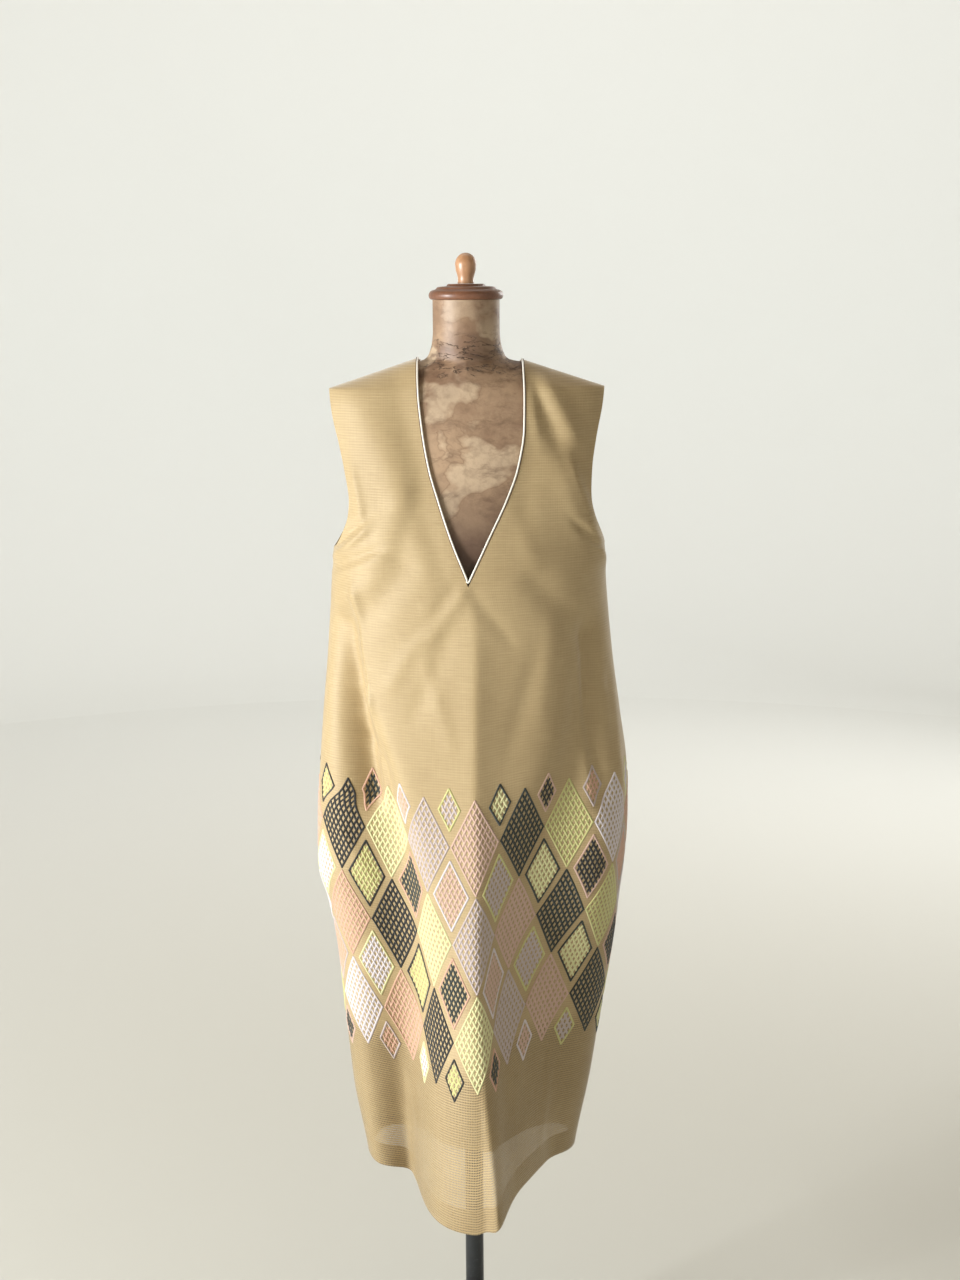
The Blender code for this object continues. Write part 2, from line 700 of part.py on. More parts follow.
def shoulder_row(z):
    """Row of the form's table on the shoulders, just inside the cloth."""
    lifted = z + FORM_DROP
    half = NECK_POINT_X + (NECK_POINT_Z - lifted) / SHOULDER_FALL
    slope = FORM_SHOULDER_HALF - FORM_SHOULDER_SLOPE * max(SHOULDER_TIP_Z - z, 0.0)
    front = body("front", lifted) - FORM_INSET
    back = body("back", lifted) - FORM_INSET
    return (z, min(half, slope), front, back, body("square", lifted))


def make_form(collection):
    """Torso and neck of the dress form, one smooth closed body."""
    table = NECK + tuple(shoulder_row(z) for z in FORM_SHOULDER_LEVELS) + FORM
    rings = [form_ring(**dict(zip(FORM_COLUMNS, row))) for row in table]
    shape = bmesh.new()
    verts = [[shape.verts.new(point) for point in ring] for ring in rings]
    for i in range(len(verts) - 1):
        for j in range(FORM_SIDES):
            k = (j + 1) % FORM_SIDES
            shape.faces.new((verts[i][k], verts[i][j], verts[i + 1][j], verts[i + 1][k]))
    shape.faces.new(verts[0])
    shape.faces.new(verts[-1][::-1])
    mesh = bpy.data.meshes.new("form_torso")
    shape.to_mesh(mesh)
    shape.free()
    skin = new_material("form_skin", (0.50, 0.40, 0.31), 0.6)
    new_object("form_torso", mesh, collection, skin)


def turned(name, profile, collection, material, closed=False):
    """Turned piece: a profile at +X, top to bottom, spun about the pole's axis."""
    mesh = bpy.data.meshes.new(name)
    edges = [(i, i + 1) for i in range(len(profile) - 1)]
    if closed:
        edges.append((len(profile) - 1, 0))
    mesh.from_pydata([(x, 0.0, z) for x, z in profile], edges, [])
    mesh.materials.append(material)
    obj = bpy.data.objects.new(name, mesh)
    screw = obj.modifiers.new("turn", "SCREW")
    screw.steps = TURNED_STEPS
    screw.render_steps = TURNED_STEPS
    screw.use_merge_vertices = True
    screw.merge_threshold = 0.00005
    screw.use_smooth_shade = True
    collection.objects.link(obj)
    return obj


def rounded(radius, top, low, bevel, steps=3):
    """Outer profile of a disc with rounded edges, from the axis round to the axis."""
    points = [(0.0, top)]
    for i in range(steps + 1):
        angle = math.pi / 2.0 * i / steps
        points.append((radius - bevel + bevel * math.sin(angle), top - bevel + bevel * math.cos(angle)))
    for i in range(steps + 1):
        angle = math.pi / 2.0 * i / steps
        points.append((radius - bevel + bevel * math.cos(angle), low + bevel - bevel * math.sin(angle)))
    points.append((0.0, low))
    return points


def make_cap(collection):
    """Turned wooden cap on the neck: a rim, a step and a small seat for the knob."""
    low = FORM_TOP_Z + FIT
    profile = [
        (0.0, low + CAP_HEIGHT),
        (0.0255, low + CAP_HEIGHT),
        (0.0268, low + 0.0200),
        (0.0270, low + 0.0182),
        (0.0405, low + 0.0176),
        (0.0420, low + 0.0158),
        (0.0424, low + 0.0136),
        (0.0500, low + 0.0124),
        (CAP_RADIUS - 0.0006, low + 0.0104),
        (CAP_RADIUS, low + 0.0080),
        (CAP_RADIUS - 0.0010, low + 0.0050),
        (0.0500, low + 0.0032),
        (0.0492, low),
        (0.0, low),
    ]
    turned("neck_cap", profile, collection, new_material("cap_wood", (0.27, 0.13, 0.06), 0.42))


def make_knob(collection):
    """Turned knob: a narrow foot, a swelling body and a round top."""
    low = FORM_TOP_Z + FIT + CAP_HEIGHT + FIT
    height = KNOB_TOP_Z - low
    profile = [(0.0, KNOB_TOP_Z)]
    for i in range(1, 8):
        angle = math.pi / 2.0 * i / 7
        profile.append((KNOB_RADIUS * math.sin(angle), KNOB_TOP_Z - 0.38 * height * (1.0 - math.cos(angle))))
    profile += [
        (KNOB_RADIUS * 0.92, low + 0.42 * height),
        (KNOB_RADIUS * 0.70, low + 0.20 * height),
        (KNOB_RADIUS * 0.66, low + 0.10 * height),
        (KNOB_RADIUS * 0.78, low),
        (0.0, low),
    ]
    turned("knob", profile, collection, new_material("knob_wood", (0.55, 0.30, 0.14), 0.4))


def make_stand(collection):
    """Pole, its socket under the form, and the plain round base with a collar."""
    iron = new_material("stand_iron", (0.10, 0.105, 0.11), 0.5, 0.6)
    pole_top = FORM_BOTTOM_Z - FIT
    pole_low = BASE_HEIGHT + FIT
    profile = [(0.0, pole_top), (POLE_RADIUS, pole_top), (POLE_RADIUS, pole_low), (0.0, pole_low)]
    turned("pole", profile, collection, iron)
    turned("base", rounded(BASE_RADIUS, BASE_HEIGHT, 0.0, 0.006), collection,
           new_material("base_iron", (0.10, 0.105, 0.11), 0.55, 0.6))
    bore = POLE_RADIUS + FIT
    collar_low = BASE_HEIGHT + FIT
    collar = [
        (bore, collar_low + COLLAR_HEIGHT),
        (COLLAR_RADIUS - 0.009, collar_low + COLLAR_HEIGHT),
        (COLLAR_RADIUS - 0.007, collar_low + COLLAR_HEIGHT - 0.003),
        (COLLAR_RADIUS - 0.006, collar_low + 0.014),
        (COLLAR_RADIUS, collar_low + 0.006),
        (COLLAR_RADIUS, collar_low),
        (bore, collar_low),
    ]
    turned("base_collar", collar, collection, new_material("collar_iron", (0.12, 0.12, 0.125), 0.5, 0.6),
           closed=True)
    socket = [
        (bore, pole_top),
        (SOCKET_RADIUS, pole_top),
        (SOCKET_RADIUS, pole_top - 0.006),
        (SOCKET_RADIUS - 0.008, pole_top - 0.010),
        (SOCKET_RADIUS - 0.010, pole_top - SOCKET_HEIGHT),
        (bore, pole_top - SOCKET_HEIGHT),
    ]
    turned("pole_socket", socket, collection,
           new_material("socket_iron", (0.12, 0.12, 0.125), 0.5, 0.6), closed=True)


def main():
    """Builds every piece of the dress, the form and the stand."""
    clear_objects()
    collection = bpy.data.collections.new("v_neck_dress_on_form")
    bpy.context.scene.collection.children.link(collection)
    make_front(collection)
    make_back(collection)
    make_piping(collection)
    make_lining(collection)
    make_form(collection)
    make_cap(collection)
    make_knob(collection)
    make_stand(collection)


main()
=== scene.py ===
"""Sleeveless v-neck dress on a limbless dress form and its stand, dressed for the render.

Metres, +Z up, front towards -Y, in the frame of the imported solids.
"""
import logging
import math
from dataclasses import dataclass
from enum import Enum
from functools import cached_property

import bpy
import numpy as np
from mathutils import Matrix, Vector


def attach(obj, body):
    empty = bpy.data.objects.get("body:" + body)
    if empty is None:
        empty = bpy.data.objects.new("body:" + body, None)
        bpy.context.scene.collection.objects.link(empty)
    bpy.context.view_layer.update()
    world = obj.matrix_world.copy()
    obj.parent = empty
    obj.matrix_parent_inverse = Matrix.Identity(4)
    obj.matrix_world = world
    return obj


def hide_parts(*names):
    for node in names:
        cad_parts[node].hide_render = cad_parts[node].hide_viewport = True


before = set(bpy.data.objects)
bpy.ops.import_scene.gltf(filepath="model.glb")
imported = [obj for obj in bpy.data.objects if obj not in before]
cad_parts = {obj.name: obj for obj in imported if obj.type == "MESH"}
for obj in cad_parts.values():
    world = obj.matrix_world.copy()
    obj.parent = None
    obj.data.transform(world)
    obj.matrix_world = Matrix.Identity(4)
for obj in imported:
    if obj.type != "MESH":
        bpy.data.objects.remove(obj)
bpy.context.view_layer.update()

LOG = logging.getLogger("dress")

# Heights of the dress and of its seams
UNDERARM_Z = 1.347
V_POINT_Z = 1.3055
HEM_Z = 0.383
NECK_TOP_Z = 1.6181
SHOULDER_TIP_Z = 1.5766
NECK_POINT_X = 0.077
NECK_POINT_Z = 1.6165
SHOULDER_FALL = 0.328
BACK_NECK_Z = 1.5895
BACK_NECK_CURVE = 3
SKIRT_LENGTH = V_POINT_Z - HEM_Z

# Dip of the front hem, and the slighter one of the back: depth, place across, width and flatness
HEM_DIP = 0.048
HEM_DIP_AT = -0.15
HEM_DIP_LEFT = 0.45
HEM_DIP_RIGHT = 0.35
HEM_DIP_FLATNESS = 3.6
BACK_HEM_DIP = 0.006
BACK_HEM_WIDTH = 0.35

# How flat a long fold's top is, how narrow the flat strip along a seam, how soft a crease's end
FOLD_FLATNESS = 2.4
SEAM_FLAT = 8
CREASE_END = 0.022

# Sharpest smooth edge of turned pieces, the form and the cloth, and the sharpest that stays
# unrounded on a turned piece, in degrees
TURNED_ANGLE = 40.0
FORM_ANGLE = 50.0
SOFT_ANGLE = 60.0
BEVEL_ANGLE = 28.0

# Segments of a quarter of a tube and of a rounded edge
TUBE_RESOLUTION = 3
BEVEL_SEGMENTS = 3

# Cloth shell: its wall, its gaps at the seams, the points of a fine line, a merging distance and
# a length that keeps a normal from being divided by nothing
SHELL_WALL = 0.0008
SEAM_HALF_GAP = 0.00016
SHOULDER_HALF_GAP = 0.00032
FINE_STEPS = 120
SAME_POINT = 0.00002
SHORTEST_NORMAL = 1e-12

# Hem turn-up, line by line how far up and how far in, and the allowances of the side seams
HEM_TURN_UP = 0.036
LAYER_GAP = 0.0022
TURN_RISES = (0.0, -0.0006, 0.002, 0.010, 0.019, 0.028, HEM_TURN_UP)
TURN_LIFTS = (0.0, -0.5 * LAYER_GAP) + (-LAYER_GAP,) * 5
LAYER_CLEAR = 0.00015
ALLOWANCE_STEPS = (0.0004, 0.004, 0.010, 0.017, 0.024)
ALLOWANCE_ROWS = 40
ALLOWANCE_ABOVE = 0.01
ALLOWANCE_BELOW = 0.0012

# Depth below the v point where the cloth starts to be sheer, and over how long it gets so
SHEER_TOP = 0.670
SHEER_BLEND = 0.045

# Body of the cloth without folds, a row for each level
BODY_COLUMNS = ("z", "left", "right", "front", "back", "left_y", "right_y", "square")
BODY = (
    (1.6400, 0.0540, 0.0540, 0.0490, 0.0490, 0.000, 0.000, 1.45),
    (1.6165, 0.0770, 0.0770, 0.0530, 0.0530, 0.000, 0.000, 1.32),
    (1.6030, 0.1182, 0.1182, 0.0575, 0.0580, 0.000, 0.000, 1.34),
    (1.5900, 0.1578, 0.1578, 0.0615, 0.0630, 0.000, 0.000, 1.42),
    (1.5766, 0.1986, 0.1986, 0.0650, 0.0680, 0.000, 0.000, 1.55),
    (1.5550, 0.2035, 0.2035, 0.0705, 0.0770, 0.000, 0.000, 1.80),
    (1.5200, 0.2055, 0.2055, 0.0790, 0.0890, 0.000, 0.000, 2.05),
    (1.4700, 0.2055, 0.2055, 0.0900, 0.0990, 0.000, 0.000, 2.20),
    (1.4140, 0.2030, 0.2030, 0.1040, 0.1040, 0.000, 0.000, 2.25),
    (1.3470, 0.1966, 0.1988, 0.1165, 0.1040, 0.000, 0.000, 2.25),
    (1.3055, 0.2002, 0.2012, 0.1200, 0.1020, 0.000, 0.000, 2.20),
    (1.1900, 0.2095, 0.2119, 0.1240, 0.1000, 0.000, 0.002, 2.00),
    (1.0980, 0.2186, 0.2246, 0.1265, 0.1000, 0.000, 0.008, 1.82),
    (1.0050, 0.2263, 0.2367, 0.1270, 0.1000, 0.000, 0.016, 1.65),
    (0.9300, 0.2305, 0.2382, 0.1250, 0.1000, 0.000, 0.022, 1.55),
    (0.8630, 0.2317, 0.2344, 0.1230, 0.1000, 0.000, 0.026, 1.50),
    (0.8070, 0.2184, 0.2280, 0.1210, 0.1000, 0.001, 0.028, 1.50),
    (0.7350, 0.2059, 0.2202, 0.1180, 0.1000, 0.003, 0.030, 1.50),
    (0.6150, 0.1965, 0.2018, 0.1120, 0.1000, 0.007, 0.032, 1.55),
    (0.4990, 0.1867, 0.1846, 0.1060, 0.1000, 0.012, 0.033, 1.60),
    (0.3990, 0.1700, 0.1647, 0.1000, 0.1000, 0.018, 0.034, 1.65),
    (0.3300, 0.1600, 0.1540, 0.0960, 0.1000, 0.021, 0.035, 1.65),
)

# Front edge of the armholes and edges of the v neck, a row for each level
EDGE_COLUMNS = ("z", "left", "right")
ARMHOLE = (
    (1.5766, 0.1973, 0.1973),
    (1.5510, 0.1935, 0.1935),
    (1.5080, 0.1863, 0.1842),
    (1.4650, 0.1770, 0.1776),
    (1.4210, 0.1703, 0.1752),
    (1.3990, 0.1708, 0.1788),
    (1.3770, 0.1776, 0.1874),
    (1.3600, 0.1880, 0.1945),
    (1.3470, 0.1966, 0.1988),
)
V_EDGE = (
    (1.6181, 0.0722, 0.0820),
    (1.5763, 0.0711, 0.0836),
    (1.5218, 0.0656, 0.0828),
    (1.4674, 0.0561, 0.0735),
    (1.4264, 0.0441, 0.0582),
    (1.3717, 0.0261, 0.0318),
    (1.3055, -0.0002, 0.0002),
)

# Middle of the front below the v, a row for each level
CENTRE_COLUMNS = ("z", "x")
CENTRE = (
    (1.3055, 0.000),
    (1.2310, 0.010),
    (1.1160, 0.008),
    (1.0130, 0.007),
    (0.7000, 0.008),
    (0.3300, 0.008),
)

# Crest down the middle of the front, a row for each height: how far out and how wide
CREST_COLUMNS = ("z", "out", "wide_left", "wide_right")
CREST = (
    (1.3000, 0.0000, 0.035, 0.034),
    (1.2700, 0.0075, 0.045, 0.038),
    (1.1500, 0.0195, 0.070, 0.050),
    (1.0000, 0.0210, 0.080, 0.052),
    (0.8600, 0.0135, 0.080, 0.055),
    (0.6500, 0.0050, 0.070, 0.048),
    (0.3300, 0.0000, 0.060, 0.045),
)

# The crest's rounding, and how much the cloth beside it is drawn in, how far out and down to where
CREST_EDGE = 0.006
CREST_DRAW = 0.55
CREST_REACH = 1.9
CREST_DRAW_END = 0.605
CREST_DRAW_FADE = 0.070

# Long folds, a row for each height of each fold: place across the panel, how far out and how wide
FOLD_COLUMNS = ("name", "z", "at", "out", "wide_left", "wide_right")
FRONT_FOLDS = (
    ("prow", 1.000, 0.02, 0.000, 0.20, 0.10),
    ("prow", 0.860, 0.02, 0.006, 0.22, 0.10),
    ("prow", 0.700, 0.02, 0.026, 0.24, 0.09),
    ("prow", 0.345, 0.08, 0.076, 0.60, 0.135),
    ("right_slope", 0.800, 0.14, 0.000, 0.10, 0.20),
    ("right_slope", 0.345, 0.19, 0.048, 0.08, 0.36),
    ("left_valley", 1.290, -0.64, 0.000, 0.12, 0.07),
    ("left_valley", 1.150, -0.57, -0.020, 0.14, 0.07),
    ("left_valley", 1.000, -0.46, -0.034, 0.18, 0.08),
    ("left_valley", 0.860, -0.41, -0.036, 0.20, 0.11),
    ("left_valley", 0.700, -0.42, -0.036, 0.20, 0.13),
    ("left_valley", 0.345, -0.53, -0.064, 0.13, 0.21),
    ("right_valley", 1.280, 0.59, 0.000, 0.09, 0.09),
    ("right_valley", 1.120, 0.54, -0.012, 0.10, 0.08),
    ("right_valley", 0.980, 0.44, -0.016, 0.14, 0.12),
    ("right_valley", 0.860, 0.36, -0.020, 0.20, 0.20),
    ("right_valley", 0.700, 0.34, -0.040, 0.24, 0.34),
    ("right_valley", 0.345, 0.53, -0.026, 0.22, 0.24),
    ("right_bulge", 1.060, 0.70, 0.000, 0.12, 0.12),
    ("right_bulge", 0.900, 0.68, 0.010, 0.12, 0.12),
    ("right_bulge", 0.740, 0.68, 0.000, 0.12, 0.12),
)
BACK_FOLDS = (
    ("middle_ridge", 1.180, 0.06, 0.000, 0.14, 0.14),
    ("middle_ridge", 0.383, 0.04, 0.044, 0.17, 0.17),
    ("left_trough", 1.200, -0.30, 0.000, 0.12, 0.12),
    ("left_trough", 0.383, -0.30, -0.026, 0.13, 0.13),
    ("right_trough", 1.080, 0.36, 0.000, 0.12, 0.12),
    ("right_trough", 0.383, 0.34, -0.024, 0.13, 0.13),
    ("left_ridge", 1.020, -0.58, 0.000, 0.12, 0.12),
    ("left_ridge", 0.383, -0.60, 0.020, 0.13, 0.13),
    ("right_ridge", 0.920, 0.62, 0.000, 0.12, 0.12),
    ("right_ridge", 0.383, 0.64, 0.016, 0.13, 0.13),
)

# Creases, a row for each: x and z of its upper end, x and z of its lower end, half width and how
# far out. Those of the fine tables are in the cloth shell only, the others in the solids too
FRONT_CREASES = (
    (0.112, 1.580, 0.146, 1.520, 0.013, 0.0050),
    (0.098, 1.575, 0.124, 1.510, 0.012, -0.0036),
    (0.146, 1.450, 0.186, 1.340, 0.018, 0.0042),
    (-0.150, 1.395, -0.180, 1.350, 0.018, 0.0034),
    (-0.090, 1.330, -0.170, 1.235, 0.022, -0.0045),
    (0.100, 1.310, 0.165, 1.225, 0.022, -0.0040),
)
FRONT_FINE_CREASES = (
    (-0.158, 1.560, -0.092, 1.440, 0.0300, 0.0046),
    (-0.098, 1.585, -0.066, 1.450, 0.0210, -0.0026),
    (-0.186, 1.500, -0.172, 1.420, 0.0130, -0.0030),
    (-0.095, 1.420, -0.150, 1.300, 0.0260, 0.0040),
    (-0.060, 1.400, -0.038, 1.330, 0.0180, -0.0022),
    (0.090, 1.500, 0.074, 1.400, 0.0200, -0.0020),
    (0.128, 1.470, 0.172, 1.330, 0.0210, 0.0026),
    (0.093, 1.570, 0.098, 1.525, 0.0080, 0.0018),
    (0.118, 1.592, 0.152, 1.535, 0.0100, 0.0010),
    (0.150, 1.462, 0.190, 1.352, 0.0070, 0.0026),
    (0.160, 1.380, 0.188, 1.352, 0.0050, -0.0030),
    (0.176, 1.372, 0.196, 1.330, 0.0055, 0.0030),
    (-0.189, 1.356, -0.150, 1.392, 0.0055, -0.0042),
    (-0.186, 1.343, -0.152, 1.374, 0.0050, 0.0036),
    (-0.182, 1.330, -0.136, 1.352, 0.0065, -0.0032),
    (-0.180, 1.318, -0.146, 1.334, 0.0055, 0.0024),
    (-0.160, 1.450, -0.150, 1.400, 0.0070, 0.0022),
    (-0.010, 1.292, -0.050, 1.236, 0.0090, 0.0024),
    (-0.026, 1.296, -0.074, 1.240, 0.0080, -0.0018),
    (-0.056, 1.262, -0.110, 1.165, 0.0130, 0.0022),
    (-0.030, 1.225, -0.078, 1.120, 0.0150, -0.0016),
    (0.012, 1.288, 0.052, 1.236, 0.0100, -0.0014),
    (0.068, 1.400, 0.098, 1.330, 0.0140, 0.0014),
    (0.120, 1.260, 0.104, 1.120, 0.0150, 0.0016),
    (-0.070, 1.430, -0.100, 1.350, 0.0150, -0.0018),
    (-0.163, 1.283, -0.148, 1.130, 0.0085, 0.0060),
    (-0.148, 1.130, -0.132, 0.990, 0.0085, 0.0070),
    (-0.190, 1.240, -0.160, 0.985, 0.0190, -0.0155),
    (-0.160, 1.070, -0.138, 1.048, 0.0055, -0.0034),
    (-0.176, 1.150, -0.158, 1.138, 0.0045, 0.0022),
    (-0.172, 1.110, -0.152, 1.096, 0.0045, 0.0022),
    (0.205, 1.142, 0.212, 1.070, 0.0060, -0.0036),
    (0.208, 1.124, 0.224, 0.987, 0.0080, 0.0045),
    (0.172, 1.225, 0.192, 0.985, 0.0140, -0.0100),
    (0.158, 1.190, 0.178, 1.000, 0.0085, 0.0030),
    (-0.060, 1.190, -0.030, 1.090, 0.0120, 0.0014),
    (0.090, 1.180, 0.060, 1.080, 0.0140, -0.0012),
    (-0.190, 0.920, -0.160, 0.860, 0.0080, 0.0026),
    (-0.120, 0.560, -0.090, 0.450, 0.0090, 0.0016),
    (0.080, 0.640, 0.060, 0.500, 0.0110, 0.0018),
    (0.130, 0.560, 0.110, 0.430, 0.0080, 0.0016),
    (0.020, 0.520, 0.028, 0.400, 0.0060, 0.0016),
)
BACK_CREASES = (
    (-0.120, 1.520, -0.165, 1.430, 0.018, -0.0040),
    (0.115, 1.500, 0.160, 1.420, 0.018, -0.0045),
    (-0.060, 1.300, -0.140, 1.180, 0.024, -0.0050),
    (0.080, 1.330, 0.150, 1.220, 0.024, -0.0045),
)
BACK_FINE_CREASES = (
    (-0.150, 1.470, -0.186, 1.360, 0.0075, 0.0042),
    (0.146, 1.460, 0.184, 1.372, 0.0081, 0.0042),
    (-0.160, 1.400, -0.190, 1.350, 0.0063, -0.0042),
    (0.168, 1.396, 0.190, 1.352, 0.0056, -0.0038),
    (-0.090, 1.560, -0.070, 1.500, 0.0100, 0.0030),
    (0.082, 1.566, 0.060, 1.510, 0.0088, 0.0027),
    (-0.040, 1.240, -0.100, 1.130, 0.0137, 0.0038),
    (0.050, 1.260, 0.120, 1.150, 0.0125, 0.0034),
    (-0.120, 1.180, -0.170, 1.060, 0.0112, -0.0042),
    (0.130, 1.150, 0.180, 1.040, 0.0100, 0.0042),
    (0.020, 1.110, -0.010, 0.960, 0.0150, 0.0030),
    (-0.200, 1.060, -0.190, 0.930, 0.0088, 0.0042),
    (0.200, 1.000, 0.190, 0.880, 0.0094, -0.0038),
    (-0.080, 0.660, -0.090, 0.520, 0.0125, 0.0030),
    (0.110, 0.590, 0.120, 0.470, 0.0112, 0.0026),
    (-0.070, 1.540, -0.140, 1.400, 0.0240, 0.0042),
    (0.060, 1.530, 0.128, 1.390, 0.0230, -0.0040),
    (0.000, 1.360, -0.030, 1.180, 0.0240, 0.0038),
    (-0.110, 1.290, -0.170, 1.150, 0.0160, 0.0046),
    (0.092, 1.300, 0.168, 1.170, 0.0170, 0.0050),
    (0.150, 1.120, 0.205, 1.010, 0.0120, -0.0048),
    (-0.150, 1.080, -0.196, 0.990, 0.0120, -0.0044),
)


class Side(Enum):
    """Which panel of the dress a surface belongs to."""

    FRONT = -1.0
    BACK = 1.0


class Curve:
    """Smooth monotone curve through one column of a table."""

    def __init__(self, levels: list[float], values: list[float]) -> None:
        """Reads the column.

        Args:
            levels: Heights of the rows.
            values: The column's values at those heights.
        """
        order = np.argsort(levels)
        self.x = np.asarray(levels, float)[order]
        self.y = np.asarray(values, float)[order]
        self.steps = np.diff(self.x)
        slopes = np.diff(self.y) / self.steps
        before, after = slopes[:-1], slopes[1:]
        turning = before * after > 0.0
        total = np.where(turning, before + after, 1.0)
        inner = np.where(turning, 2.0 * before * after / total, 0.0)
        self.tangents = np.concatenate((slopes[:1], inner, slopes[-1:]))

    def __call__(self, z: np.ndarray) -> np.ndarray:
        """Reads the curve.

        Args:
            z: Heights.

        Returns:
            The column's values there.
        """
        z = np.clip(z, self.x[0], self.x[-1])
        i = np.clip(np.searchsorted(self.x, z, side="right") - 1, 0, len(self.steps) - 1)
        t = (z - self.x[i]) / self.steps[i]
        lean = t * (1.0 - t) ** 2 * self.tangents[i] + t * t * (t - 1.0) * self.tangents[i + 1]
        start = (1.0 + 2.0 * t) * (1.0 - t) ** 2
        return start * self.y[i] + (1.0 - start) * self.y[i + 1] + self.steps[i] * lean


def read_table(table: tuple, names: tuple[str, ...]) -> dict[str, Curve]:
    """Makes a curve for each column of a table.

    Args:
        table: Rows of the table.
        names: Names of its columns, with the height as z.

    Returns:
        The curves by their column's name.
    """
    at = names.index("z")
    levels = [row[at] for row in table]
    columns = {name: [row[i] for row in table] for i, name in enumerate(names) if i != at}
    return {name: Curve(levels, values) for name, values in columns.items()}


def read_folds(table: tuple) -> list[tuple[dict[str, Curve], float]]:
    """Makes the curves of each long fold.

    Args:
        table: Rows of all folds of a panel.

    Returns:
        For each fold its curves and the height of its top.
    """
    folds = []
    for name in dict.fromkeys(row[0] for row in table):
        rows = tuple(row[1:] for row in table if row[0] == name)
        folds.append((read_table(rows, FOLD_COLUMNS[1:]), rows[0][0]))
    return folds


def line_length(line: np.ndarray) -> float:
    """Length of a line of points."""
    return np.linalg.norm(np.diff(line, axis=0), axis=1).sum()


def spread(line: np.ndarray, shares: np.ndarray) -> np.ndarray:
    """Places points along a fine line at the given shares of its length.

    Args:
        line: Points of the fine line.
        shares: Shares of its length, 0 to 1.

    Returns:
        The points at those shares.
    """
    steps = np.linalg.norm(np.diff(line, axis=0), axis=1)
    lengths = np.concatenate(([0.0], np.cumsum(steps)))
    wanted = shares * lengths[-1]
    return np.stack([np.interp(wanted, lengths, line[:, axis]) for axis in range(3)], axis=1)


